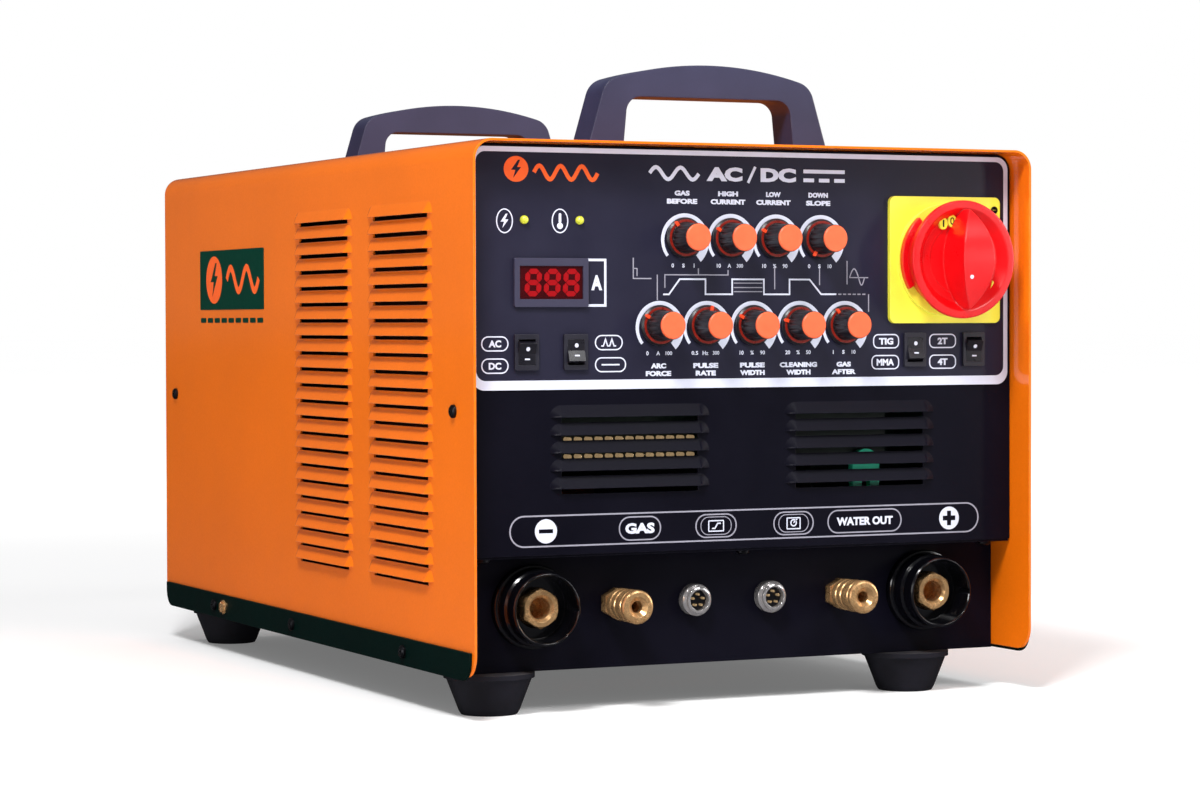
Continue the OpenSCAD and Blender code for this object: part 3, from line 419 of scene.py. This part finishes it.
class Flat:
    """Closed flat solids drawn in (x, z), rising from the plane y towards -Y and sunk behind it.

    The matrix to, if given, carries them to their place; all lengths are millimetres.
    """

    def __init__(self, y, rise=0.12, sink=0.04, to=None):
        self.bm = bmesh.new()
        self.front_y = y - rise
        self.back_y = y + sink
        self.to = to

    def vert(self, x, y, z):
        point = Vector((x, y, z))
        return self.bm.verts.new((self.to @ point if self.to is not None else point) * MM)

    def add(self, *loops):
        """One solid: an outline, then any holes in it."""
        points = [p for loop in loops for p in loop]
        triangles = tessellate_polygon([[Vector((x, z, 0)) for x, z in loop] for loop in loops])
        front = [self.vert(x, self.front_y, z) for x, z in points]
        back = [self.vert(x, self.back_y, z) for x, z in points]
        for a, b, c in triangles:
            if len({a, b, c}) == 3:  # a collapsed triangle can't be a face
                self.bm.faces.new((front[a], front[b], front[c]))
                self.bm.faces.new((back[c], back[b], back[a]))
        start = 0
        for loop in loops:
            count = len(loop)
            for j in range(count):
                a, b = start + j, start + (j + 1) % count
                self.bm.faces.new((front[a], front[b], back[b], back[a]))
            start += count

    def frame(self, x0, x1, z0, z1, radius, width):
        """Rounded rectangular line."""
        self.add(rounded_rect(x0, x1, z0, z1, radius),
                 rounded_rect(x0 + width, x1 - width, z0 + width, z1 - width,
                              max(0.05, radius - width)))

    def stroke(self, points, width):
        """Open line with mitred corners."""
        path = [Vector(p) for p in points]
        left, right = [], []
        for i, point in enumerate(path):
            before = (point - path[i - 1] if i else path[1] - point).normalized()
            after = (path[i + 1] - point).normalized() if i < len(path) - 1 else before
            normal = Vector((-before.y, before.x))
            mitre = (normal + Vector((-after.y, after.x))).normalized()
            reach = width / 2 / max(0.35, mitre.dot(normal))  # limits the mitre of sharp corners
            left.append((point.x + mitre.x * reach, point.y + mitre.y * reach))
            right.append((point.x - mitre.x * reach, point.y - mitre.y * reach))
        self.add(left + right[::-1])

    def word(self, text, cx, cz, height, width=None, bold=0.02):
        """A word whose letters fill the height, and the width if one is given."""
        points, polygons = glyph_mesh(text, bold)
        x0, x1 = min(p.x for p in points), max(p.x for p in points)
        y0, y1 = min(p.y for p in points), max(p.y for p in points)
        scale_z = height / (y1 - y0)
        scale_x = scale_z if width is None else width / (x1 - x0)
        sheet = bmesh.new()
        verts = [sheet.verts.new((p.x, p.y, 0)) for p in points]
        for polygon in polygons:
            try:
                sheet.faces.new([verts[i] for i in polygon])
            except ValueError:
                pass  # the font fill can repeat a face or a corner
        bmesh.ops.remove_doubles(sheet, verts=sheet.verts, dist=1e-5)
        bmesh.ops.delete(sheet, geom=[v for v in sheet.verts if not v.link_faces],
                         context="VERTS")
        pairs = {}  # sheet vertex: its front and back vertices
        for v in sheet.verts:
            x = cx + (v.co.x - (x0 + x1) / 2) * scale_x
            z = cz + (v.co.y - (y0 + y1) / 2) * scale_z
            pairs[v] = (self.vert(x, self.front_y, z), self.vert(x, self.back_y, z))
        for face in sheet.faces:
            self.bm.faces.new([pairs[v][0] for v in face.verts])
            self.bm.faces.new([pairs[v][1] for v in reversed(face.verts)])
        for edge in sheet.edges:
            if len(edge.link_faces) == 1:
                a, b = edge.verts
                self.bm.faces.new((pairs[a][0], pairs[b][0], pairs[b][1], pairs[a][1]))
        sheet.free()

    def done(self, name, material, body):
        """Turn the solids into an object that rides on a body."""
        bmesh.ops.recalc_face_normals(self.bm, faces=self.bm.faces)
        mesh = bpy.data.meshes.new(name)
        self.bm.to_mesh(mesh)
        self.bm.free()
        obj = bpy.data.objects.new(name, mesh)
        scene.collection.objects.link(obj)
        mesh.materials.append(MATERIALS[material])
        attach(obj, body)


# ---------------------------------------------------------------- legends on the overlay
# Lightning bolts about their centre; the small one is for a symbol one unit high.
SYMBOL_BOLT = [(0.10, 0.5), (-0.30, -0.06), (-0.04, -0.06), (-0.16, -0.5), (0.30, 0.10),
               (0.04, 0.10), (0.24, 0.5)]
OVERLAY_BOLT = [(1.2, 5.4), (-3.2, -0.6), (-0.5, -0.6), (-2.0, -5.6), (3.2, 1.1), (0.7, 1.1),
                (2.7, 5.4)]
BADGE_BOLT = [(2.6, 12), (-8, -1.4), (-1.4, -1.4), (-4.4, -12.5), (8, 2.8), (1.6, 2.8),
              (6.2, 12)]

# Caption rows: height of the first line, line pitch, shift from the knob's centre.
UPPER = dict(first_z=311.7, pitch=4.9, dx=-1.2)
LOWER = dict(first_z=207.7, pitch=4.6, dx=-0.2)
# Knob: caption row, marks below the scale, caption lines, pointer angle from +X in degrees.
KNOBS = {
    "pre_flow": (UPPER, ("0", "s", "1"), ("GAS", "BEFORE"), 127),
    "peak_current": (UPPER, ("10", "A", "300"), ("HIGH", "CURRENT"), 150),
    "base_current": (UPPER, ("10", "%", "90"), ("LOW", "CURRENT"), 153),
    "down_slope": (UPPER, ("0", "s", "10"), ("DOWN", "SLOPE"), 240),
    "arc_force": (LOWER, ("0", "A", "100"), ("ARC", "FORCE"), 148),
    "pulse_frequency": (LOWER, ("0.5", "Hz", "300"), ("PULSE", "RATE"), 77),
    "pulse_width": (LOWER, ("10", "%", "90"), ("PULSE", "WIDTH"), 150),
    "cleaning_width": (LOWER, ("20", "%", "50"), ("CLEANING", "WIDTH"), 164),
    "post_flow": (LOWER, ("1", "s", "10"), ("GAS", "AFTER"), 125),
}

CURRENT_CURVE = [
    (-57.2, 250.7), (-53.3, 250.7), (-46.0, 259.9), (-28.6, 259.9), (-28.6, 250.8),
    (-10.4, 250.8), (-10.4, 259.9), (11.4, 259.9), (11.4, 250.8), (29.2, 250.8),
    (29.2, 259.9), (43.2, 259.9), (51.3, 250.9), (62.0, 250.9)]
# Thin lines round the current curve: width, points.
GUIDE_LINES = [
    (0.7, [(84.9, 250.9), (84.9, 240.0)]),
    (0.6, [(-9.4, 257.6), (10.4, 257.6)]),
    (0.6, [(-9.4, 254.9), (10.4, 254.9)]),
    (0.6, [(-9.4, 252.4), (10.4, 252.4)]),
    (0.7, [(-61.1, 262.6), (-61.1, 247.2)]),
    (0.7, [(-56.0, 254.6), (-56.0, 262.5), (-13.2, 262.5), (-13.2, 265.6)]),
    (0.7, [(-33.4, 262.9), (-33.4, 266.4)]),
    (0.7, [(18.9, 253.9), (18.9, 267.2)]),
    (0.7, [(50.2, 256.5), (50.2, 267.4)]),
    (0.7, [(-77.1, 272.6), (-77.1, 260.2), (-65.0, 260.2)]),
    (0.7, [(-77.1, 266.2), (-74.6, 266.2), (-74.6, 261.6)][:0] or
     [(69.6, 271.5), (69.6, 257.0)]),
] if False else [
    (0.7, [(84.9, 250.9), (84.9, 240.0)]),
    (0.6, [(-9.4, 257.6), (10.4, 257.6)]),
    (0.6, [(-9.4, 254.9), (10.4, 254.9)]),
    (0.6, [(-9.4, 252.4), (10.4, 252.4)]),
    (0.7, [(-61.1, 262.6), (-61.1, 247.2)]),
    (0.7, [(-56.0, 254.6), (-56.0, 262.5), (-13.2, 262.5), (-13.2, 265.6)]),
    (0.7, [(-33.4, 262.9), (-33.4, 266.4)]),
    (0.7, [(18.9, 253.9), (18.9, 267.2)]),
    (0.7, [(50.2, 256.5), (50.2, 267.4)]),
    (0.7, [(-77.1, 272.6), (-77.1, 260.2), (-65.0, 260.2)]),
    (0.6, [(-77.1, 266.2), (-74.6, 266.2), (-74.6, 261.6)]),
    (0.7, [(69.6, 271.5), (69.6, 257.0)]),
    (0.6, [(71.2, 261.2), (84.6, 261.2)]),
    (0.7, wave(71.4, 6.4, z=261.2, height=5.4, waves=0.5, steps=16)),
    (0.7, wave(77.8, 4.2, z=261.2, height=-4.6, waves=0.5, steps=12)),
]


def print_border(white):
    """White border of the overlay, heavier along the bottom."""
    x0, x1 = low("control_overlay").x, high("control_overlay").x
    z0, z1 = low("control_overlay").z, high("control_overlay").z
    white.add(rounded_rect(x0, x1, z0, z1, 8, steps=12),
              rounded_rect(x0 + 2.6, x1 - 3.0, z0 + 5.6, z1 - 3.0, 6, steps=12))


def print_emblem(orange):
    """A bolt cut out of a disc, and a wave beside it."""
    cx, cz = -153.5, 324.4
    orange.add(oval(cx, cz, 7.9, 7.6), shifted(OVERLAY_BOLT, cx, cz))
    orange.stroke(wave(-142.0, 41.5, z=322.6, height=4.0, waves=3, steps=48), 2.5)


def print_current_type(white):
    """AC/DC between an alternating and a direct current sign."""
    z, line = 323.5, 2.3
    for text, cx in (("AC", -15.5), ("DC", 21.5)):
        white.word(text, cx, z, height=8.6, width=24.5, bold=0.06)
    white.stroke([(0.6, 318.6), (5.6, 328.4)], 1.7)
    white.stroke(wave(-66, 33, z=z, height=3.6, waves=2, steps=32), line)
    white.stroke([(39, 326.2), (68, 326.2)], line)
    for i in range(3):
        white.stroke([(39 + i * 10.8, 320.8), (46.4 + i * 10.8, 320.8)], line)


def print_lamp_symbols(white):
    """Two ovals: a bolt in the left one, a thermometer shape in the right one."""
    def surround(cx, cz):
        white.add(oval(cx, cz, 5.4, 7.3), oval(cx, cz, 4.7, 6.6))

    cx, cz = -161.0, 293.8
    surround(cx, cz)
    white.add(shifted(SYMBOL_BOLT, cx, cz, scale=8.4))
    cx, cz = -125.2, 294.1
    surround(cx, cz)
    white.add(oval(cx, cz - 2.9, 1.9, steps=24))
    white.add(rounded_rect(cx - 0.85, cx + 0.85, cz - 1.2, cz + 4.6, 0.8, steps=4))


def print_meter_unit(white):
    """The letter A in an open bracket to the right of the meter."""
    bezel_low, bezel_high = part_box("meter_bezel")
    left, bottom, top = bezel_high.x / MM, bezel_low.z / MM, bezel_high.z / MM
    right = left + 12.6
    white.add(rectangle(left + 0.4, right, top - 1.7, top - 0.2))
    white.add(rectangle(left + 0.4, right, bottom + 0.2, bottom + 1.7))
    white.add(rectangle(right - 1.5, right, bottom + 1.7, top - 1.7))
    white.word("A", left + 6.2, mid("meter_bezel").z, height=9.0, width=7.2, bold=0.05)


def print_dial(white, knob, row, marks, caption):
    """Crescent scale that thickens clockwise, marks below it and a caption above."""
    centre = mid(knob + "_cap")
    arc_x, arc_z = centre.x + 0.5, centre.z - 1.2
    start, end, steps = 220.0, -50.5, 44  # degrees from +X
    outer, inner = [], []
    for i in range(steps + 1):
        part = i / steps
        angle = math.radians(start + (end - start) * part)
        radius = 15.9 + 1.2 * part ** 4
        thickness = 1.9 + 3.2 * part ** 1.3
        for edge, r in ((outer, radius), (inner, radius - thickness)):
            edge.append((arc_x + r * math.cos(angle), arc_z + r * math.sin(angle)))
    white.add(outer + inner[::-1])
    for text, dx in zip(marks, (-7.6, -0.4, 6.8)):
        height, width = (2.5, None) if len(text) < 3 else (2.3, 4.4)
        white.word(text, centre.x + dx, centre.z - 16.7, height, width)
    for i, text in enumerate(caption):
        white.word(text, centre.x + row["dx"], row["first_z"] - i * row["pitch"],
                   height=3.1, width=min(26, 3.4 * len(text)), bold=0.058)


def print_current_curve(white, grey):
    """Welding current curve between the knob rows, with its dashes and guide lines."""
    white.stroke(CURRENT_CURVE, 1.0)
    for i in range(6):
        grey.stroke([(63.4 + i * 3.4, 250.9), (65.6 + i * 3.4, 250.9)], 0.8)
    for width, points in GUIDE_LINES:
        grey.stroke(points, width)


def print_rocker_legends(white):
    """Outlined legends of the two positions of each rocker."""
    def pill(x0, x1, z0, z1, radius=None):
        white.frame(x0, x1, z0, z1, (z1 - z0) / 2 - 0.1 if radius is None else radius, 0.75)

    for text, z0, z1, text_z in (("AC", 217.0, 226.0, 221.5), ("DC", 203.9, 213.0, 208.4)):
        pill(-176.2, -158.7, z0, z1)
        white.word(text, -167.4, text_z, height=4.2, width=8.0, bold=0.04)
    pill(-102.6, -84.2, 217.3, 226.5)
    white.stroke([(-98.4, 219.9), (-97.0, 219.9), (-95.6, 223.9), (-94.2, 219.9),
                  (-92.8, 219.9), (-91.4, 223.9), (-90.0, 219.9), (-88.6, 219.9)], 0.8)
    pill(-102.6, -82.0, 204.2, 213.2)
    white.stroke([(-98.2, 208.7), (-86.4, 208.7)], 0.9)
    for text, x0, x1, z0, z1, width in (
            ("TIG", 88.1, 106.8, 217.2, 226.2, 10.2), ("MMA", 86.9, 106.8, 204.2, 213.2, 12.4),
            ("2T", 128.5, 148.1, 217.2, 226.2, 7.2), ("4T", 128.5, 148.1, 204.2, 213.2, 7.2)):
        pill(x0, x1, z0, z1, radius=3.6)
        white.word(text, (x0 + x1) / 2, (z0 + z1) / 2, height=4.2, width=width, bold=0.045)


def print_overlay():
    white = Flat(OVERLAY_Y)
    grey = Flat(OVERLAY_Y, rise=0.09)
    orange = Flat(OVERLAY_Y)
    print_border(white)
    print_emblem(orange)
    print_current_type(white)
    print_lamp_symbols(white)
    print_meter_unit(white)
    for knob, (row, marks, caption, _) in KNOBS.items():
        print_dial(white, knob, row, marks, caption)
    print_current_curve(white, grey)
    print_rocker_legends(white)
    white.done("overlay_print_white", "print_white", "case")
    grey.done("overlay_print_grey", "print_grey", "case")
    orange.done("overlay_emblem", "print_orange", "case")


# ---------------------------------------------------------------- strip above the connectors
def print_connector_strip():
    signs = Flat(PANEL_Y)
    lines = Flat(PANEL_Y)
    cz = 110.3
    lines.frame(-158.4, 165.0, 100.9, 119.9, 9.4, 0.9)

    # minus and plus cut out of discs
    arm, half = 4.6, 1.5
    minus = [(-arm, half * 0.8), (-arm, -half * 0.8), (arm, -half * 0.8), (arm, half * 0.8)]
    plus = [(-half, arm), (-half, half), (-arm, half), (-arm, -half), (-half, -half),
            (-half, -arm), (half, -arm), (half, -half), (arm, -half), (arm, half),
            (half, half), (half, arm)]
    for cx, sign in ((-134.7, minus), (143.3, plus)):
        signs.add(oval(cx, cz, 7.2), shifted(sign, cx, cz))

    for x0, x1 in ((-86.9, -58.7), (-35.5, -7.3), (18.0, 46.2), (55.9, 108.8)):
        lines.frame(x0, x1, cz - 7.3, cz + 7.3, 7.1, 0.8)
    signs.word("GAS", -72.8, cz, height=6.4, width=19.6, bold=0.05)
    signs.word("WATER OUT", 82.4, cz, height=5.2, width=40.0, bold=0.045)
    torch_x, remote_x = -21.4, 32.1
    for cx in (torch_x, remote_x):
        lines.frame(cx - 10.6, cx + 10.6, cz - 5.6, cz + 5.6, 5.3, 0.5)
    # torch switch symbol
    signs.frame(-26.8, -16.0, cz - 3.6, cz + 3.4, 0.6, 0.7)
    signs.stroke([(-24.2, cz - 1.6), (-22.2, cz - 1.6), (-20.4, cz + 1.4), (-18.2, cz + 1.4)],
                 0.8)
    # remote control symbol
    signs.frame(27.2, 37.0, cz - 3.8, cz + 3.6, 0.6, 0.7)
    signs.add(oval(remote_x, cz + 0.2, 2.3, steps=24), oval(remote_x, cz + 0.2, 1.5, steps=24))
    signs.stroke([(remote_x, cz + 0.2), (34.6, cz + 2.6)], 0.7)
    signs.done("connector_strip_print", "print_white", "case")
    lines.done("connector_strip_lines", "print_grey", "case")


# ---------------------------------------------------------------- ammeter digits
def build_meter_digits():
    """Three seven-segment eights, leaning to the right."""
    pitch, width, height, thickness, slant = 12.4, 7.5, 13.2, 3.2, 0.06
    lit = Flat(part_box("meter_display")[0].y / MM, rise=0.25, sink=0.05)
    centre = mid("meter_display")

    def bar(length):
        """Level segment with pointed ends."""
        end, half = length / 2, thickness / 2
        return [(-end, 0), (-end + half, half), (end - half, half), (end, 0),
                (end - half, -half), (-end + half, -half)]

    level = bar(width - 0.5)
    upright = [(z + slant * x, x) for x, z in bar(height / 2 - 0.5)]
    for i in (-1, 0, 1):
        x = centre.x + i * pitch + 0.8
        for row in (-1, 0, 1):
            lit.add(shifted(level, x + slant * row * height / 2, centre.z + row * height / 2))
        for side in (-1, 1):
            for row in (-1, 1):
                lit.add(shifted(upright, x + side * width / 2 + slant * row * height / 4,
                                centre.z + row * height / 4))
    lit.done("meter_digits", "segment_red", "case")


# ---------------------------------------------------------------- rocker marks
ROCKER_TILTS = {"polarity_rocker": 10, "pulse_rocker": -10, "process_rocker": -10,
                "trigger_rocker": 10}  # degrees about +X


def build_rocker_marks(rocker, tilt):
    """A dot on the upper half of a rocker and a dash on the lower half."""
    body = rocker if rocker in frame["bodies"] else body_of(rocker)
    pivot = Vector((mid(rocker).x, OVERLAY_Y + 3, mid("rocker_frames").z))
    turn = Matrix.Translation(pivot) @ Matrix.Rotation(math.radians(tilt), 4, "X")
    dot = oval(0.2, 3.0, 1.25, steps=20)
    dash = [(-1.5, -3.6), (1.7, -3.6), (1.7, -2.7), (-1.5, -2.7)]
    for mark, outline, side in (("dot", dot, 1), ("dash", dash, -1)):
        # the two halves of the face meet in a shallow valley
        slope = math.atan2(1.0, 6.6) * side
        flat = Flat(0.0, rise=0.14, sink=0.12,
                    to=turn @ Matrix.Translation(Vector((0, -5.3, 0)))
                    @ Matrix.Rotation(slope, 4, "X"))
        flat.add(outline)
        flat.done(f"{rocker}_mark_{mark}", "print_white", body)


# ---------------------------------------------------------------- knob pointers
POINTER = [(8.6, 1.0), (11.6, 1.0), (12.2, 0.0), (11.6, -1.0), (8.6, -1.0)]  # along, across


def build_knob_marks(knob, angle):
    """Red band round the skirt of a knob, and its orange pointer."""
    centre = mid(knob + "_cap")
    body = body_of(knob + "_knob")
    skirt_y = OVERLAY_Y - 0.5 - 2.6
    band = Flat(skirt_y, rise=0.22, sink=0.05)
    band.add(oval(centre.x, centre.z, 11.1, steps=64), oval(centre.x, centre.z, 9.6, steps=64))
    band.done(f"{knob}_skirt_band", "skirt_red", body)
    pointer = Flat(skirt_y - 0.6, rise=0.35, sink=1.4)
    cos, sin = math.cos(math.radians(angle)), math.sin(math.radians(angle))
    pointer.add([(centre.x + cos * along - sin * across, centre.z + sin * along + cos * across)
                 for along, across in POINTER])
    pointer.done(f"{knob}_pointer", "mark_orange", body)


# ---------------------------------------------------------------- badge on the left side
def build_side_badge():
    """Green badge with an orange emblem over a dashed rule; x runs towards the front (-Y)."""
    left_wall = (Matrix.Translation(Vector((-190.0, 0, 0)))
                 @ Matrix.Rotation(math.radians(-90), 4, "Z"))
    plate = Flat(0.0, rise=0.35, sink=0.05, to=left_wall)
    plate.add(rounded_rect(-210, -72, 243.4, 285.4, 1.2, steps=4))
    plate.done("side_badge", "badge_green", "case")

    emblem = Flat(0.0, rise=0.48, sink=-0.30, to=left_wall)
    cx, cz = -178, 264.5
    emblem.add(oval(cx, cz, 17.5, 16.8), shifted(BADGE_BOLT, cx, cz))
    emblem.stroke(wave(-150, 68, z=264.4, height=8.0, waves=2, steps=48), 5.0)
    emblem.done("side_badge_emblem", "print_orange", "case")

    rule = Flat(0.0, rise=0.2, sink=0.05, to=left_wall)
    for i in range(9):
        x = -209 + i * 15.4
        rule.add(rounded_rect(x, x + 11.6, 234.2, 237.6, 0.8, steps=3))
    rule.done("side_badge_rule", "badge_green", "case")


# ---------------------------------------------------------------- marks on the isolator handle
def build_isolator_marks():
    centre = mid("isolator_handle")
    body = body_of("isolator_handle")
    back_y = -277.9                # back of the handle's base ring
    ring_y = back_y - 14.6         # plane the yellow marks rise from
    mark_rise = 1.5
    oval_x, oval_z = centre.x - 6.3, centre.z + 23.8

    marks = Flat(ring_y, rise=mark_rise, sink=0.3)
    marks.add(oval(centre.x - 12.6, centre.z + 22.2, 3.0, 3.7, steps=32))
    marks.add(oval(oval_x, oval_z, 3.0, 3.9, steps=32))
    marks.add(shifted([(21.2, -18.8), (26.0, -17.0), (23.2, -13.0)], centre.x, centre.z))
    marks.done("isolator_marks", "yellow_plastic", body)

    # black 0 and 1 on the two ovals
    figures = Flat(ring_y - mark_rise, rise=0.15, sink=0.1)
    figures.add(oval(oval_x, oval_z, 1.5, 2.3, steps=24), oval(oval_x, oval_z, 0.8, 1.6, steps=24))
    figures.add(rounded_rect(centre.x - 13.1, centre.x - 12.1, centre.z + 20.0,
                             centre.z + 24.4, 0.3, steps=3))
    figures.done("isolator_figures", "mark_black", body)

    # white dot on a face curved to dome_radius, its crown crown_depth before the back
    crown_depth, dome_radius, drop = 38.1, 47, 11
    dot_y = back_y - crown_depth + dome_radius - math.sqrt(dome_radius ** 2 - drop ** 2)
    dot = Flat(dot_y, rise=0.25, sink=0.8)
    dot.add(oval(centre.x - 4.8, centre.z - drop, 1.3, steps=24))
    dot.done("isolator_dot", "print_white", body)

    # slotted screw head to the upper right of the handle
    screw_x, screw_z = centre.x + 35.6, centre.z + 31.6
    head = Flat(-275.5, rise=0.7, sink=0.3)
    head.add(oval(screw_x, screw_z, 2.3, steps=28),
             shifted(rectangle(-1.5, 1.5, -0.3, 0.3), screw_x, screw_z))
    head.done("isolator_plate_screw", "black_screw", "case")


# ---------------------------------------------------------------- finishes of the CAD nodes
def dress_cad_nodes():
    slots = {part["node"]: part["material_slot"] for part in frame["record"]["subparts"]}
    for name, obj in frame["nodes"].items():
        material = MATERIALS.get(slots.get(name))
        if material is None:
            raise SystemExit(f"no finish for {name} (slot {slots.get(name)})")
        if len(obj.material_slots) == 0:
            obj.data.materials.append(material)
        for slot in obj.material_slots:
            slot.material = material


# ---------------------------------------------------------------- floor, light, camera
def floor_material():
    """Pale floor that glows more with distance, and is dark and unlit in reflections."""
    shader = Shader("pale_floor")
    glossy = shader.add("LightPath").outputs["Is Glossy Ray"]
    patches = shader.remap(shader.noise(size_mm=900, detail=3.0), source=(0.3, 0.7),
                           target=(0, 1))
    pale = shader.mix(patches, (0.86, 0.86, 0.87, 1), (0.90, 0.90, 0.90, 1))
    distance = shader.add("VectorMath", {0: shader.place}, operation="LENGTH").outputs["Value"]
    glow = shader.remap(distance, source=(0.6, 2.6), target=(0.16, 0.80), smooth=True)
    feed(shader.surface, {
        "Base Color": shader.mix(glossy, pale, (0.05, 0.05, 0.06, 1)),
        "Roughness": 0.75,
        "Specular IOR Level": 0.2,
        "Emission Color": (1, 1, 1, 1),
        "Emission Strength": shader.math("MULTIPLY", glow,
                                         shader.math("SUBTRACT", 1.0, glossy))})
    return shader.material


def build_floor():
    material = floor_material()
    half = 40.0  # metres
    mesh = bpy.data.meshes.new("floor")
    mesh.from_pydata([(x, z, 0) for x, z in rectangle(-half, half, -half, half)], [],
                     [(0, 1, 2, 3)])
    floor = bpy.data.objects.new("floor", mesh)
    scene.collection.objects.link(floor)
    mesh.materials.append(material)
    mesh.polygons[0].use_smooth = True


def build_world():
    """White to the camera, dim as a light, dimmer still in reflections."""
    light_strength, glossy_strength = 0.24, 0.08
    white = (1, 1, 1, 1)
    world = bpy.data.worlds.new("studio")
    scene.world = world
    world.use_nodes = True
    tree = world.node_tree
    tree.nodes.clear()
    rays = add_node(tree, "LightPath").outputs
    strength = add_node(tree, "Math", {0: rays["Is Glossy Ray"],
                                       1: glossy_strength - light_strength,
                                       2: light_strength}, operation="MULTIPLY_ADD").outputs[0]
    light = add_node(tree, "Background", {"Color": white, "Strength": strength})
    backdrop = add_node(tree, "Background", {"Color": white, "Strength": 1.0})
    choice = add_node(tree, "MixShader", {"Fac": rays["Is Camera Ray"],
                                          1: light.outputs["Background"],
                                          2: backdrop.outputs["Background"]})
    add_node(tree, "OutputWorld", {"Surface": choice.outputs["Shader"]})


def area_light(name, at, target, size, power, **visibility):
    """Rectangular light at a place, turned to a target (metres, watts)."""
    light = bpy.data.lights.new(name, "AREA")
    light.shape = "RECTANGLE"
    light.size, light.size_y = size
    light.energy = power
    light.color = (1, 1, 1)
    obj = bpy.data.objects.new(name, light)
    scene.collection.objects.link(obj)
    obj.location = at
    obj.rotation_euler = (Vector(target) - Vector(at)).to_track_quat("-Z", "Y").to_euler()
    for setting, value in visibility.items():
        setattr(obj, setting, value)


def build_lights():
    area_light("key_left", at=(-0.95, -1.25, 1.80), target=(-0.12, -0.15, 0.18),
               size=(0.45, 0.45), power=47)
    area_light("front_fill", at=(0.7, -2.0, 1.9), target=(0.05, -0.28, 0.25),
               size=(1.0, 0.8), power=24)
    area_light("left_glint", at=(-2.6, -1.0, 0.35), target=(-0.1, -0.25, 0.15),
               size=(0.6, 1.4), power=34, visible_diffuse=False)
    area_light("rim_glint", at=(1.3, -1.5, 0.42), target=(0.0, -0.28, 0.07),
               size=(0.18, 0.5), power=4, visible_diffuse=False)
    area_light("top", at=(0.0, 0.2, 2.4), target=(0, 0, 0.3),
               size=(2.0, 2.0), power=16, visible_glossy=False)
    area_light("right", at=(2.2, -1.0, 0.9), target=(0.1, -0.1, 0.2),
               size=(0.8, 1.6), power=18)


def build_camera():
    """Camera before the front left corner; yaw turns from +Y towards +X."""
    place = Vector((-0.913408, -2.005908, 0.235072))
    yaw, pitch, roll = (math.radians(a) for a in (25.15726, -1.41731, -0.15437))
    data = bpy.data.cameras.new("camera")
    camera = bpy.data.objects.new("camera", data)
    scene.collection.objects.link(camera)
    data.sensor_fit = "HORIZONTAL"
    data.sensor_width = 36.0
    data.lens = 96.36
    data.clip_start, data.clip_end = 0.05, 60.0
    ahead = Vector((math.sin(yaw) * math.cos(pitch), math.cos(yaw) * math.cos(pitch),
                    math.sin(pitch)))
    level = Vector((math.cos(yaw), -math.sin(yaw), 0.0))
    upright = level.cross(ahead)
    right = level * math.cos(roll) + upright * math.sin(roll)
    up = -level * math.sin(roll) + upright * math.cos(roll)
    turn = Matrix((right, up, -ahead)).transposed()
    camera.matrix_world = Matrix.Translation(place) @ turn.to_4x4()
    scene.camera = camera


def set_render():
    scene.view_settings.view_transform = "Standard"
    scene.view_settings.look = "None"
    scene.cycles.max_bounces = 6
    scene.cycles.diffuse_bounces = 3
    scene.cycles.glossy_bounces = 4
    scene.cycles.sample_clamp_indirect = 6.0


print_overlay()
print_connector_strip()
build_meter_digits()
for rocker_name, rocker_tilt in ROCKER_TILTS.items():
    build_rocker_marks(rocker_name, rocker_tilt)
for knob_name, (*_, pointer_angle) in KNOBS.items():
    build_knob_marks(knob_name, pointer_angle)
build_side_badge()
build_isolator_marks()
dress_cad_nodes()
build_floor()
build_world()
build_lights()
build_camera()
set_render()
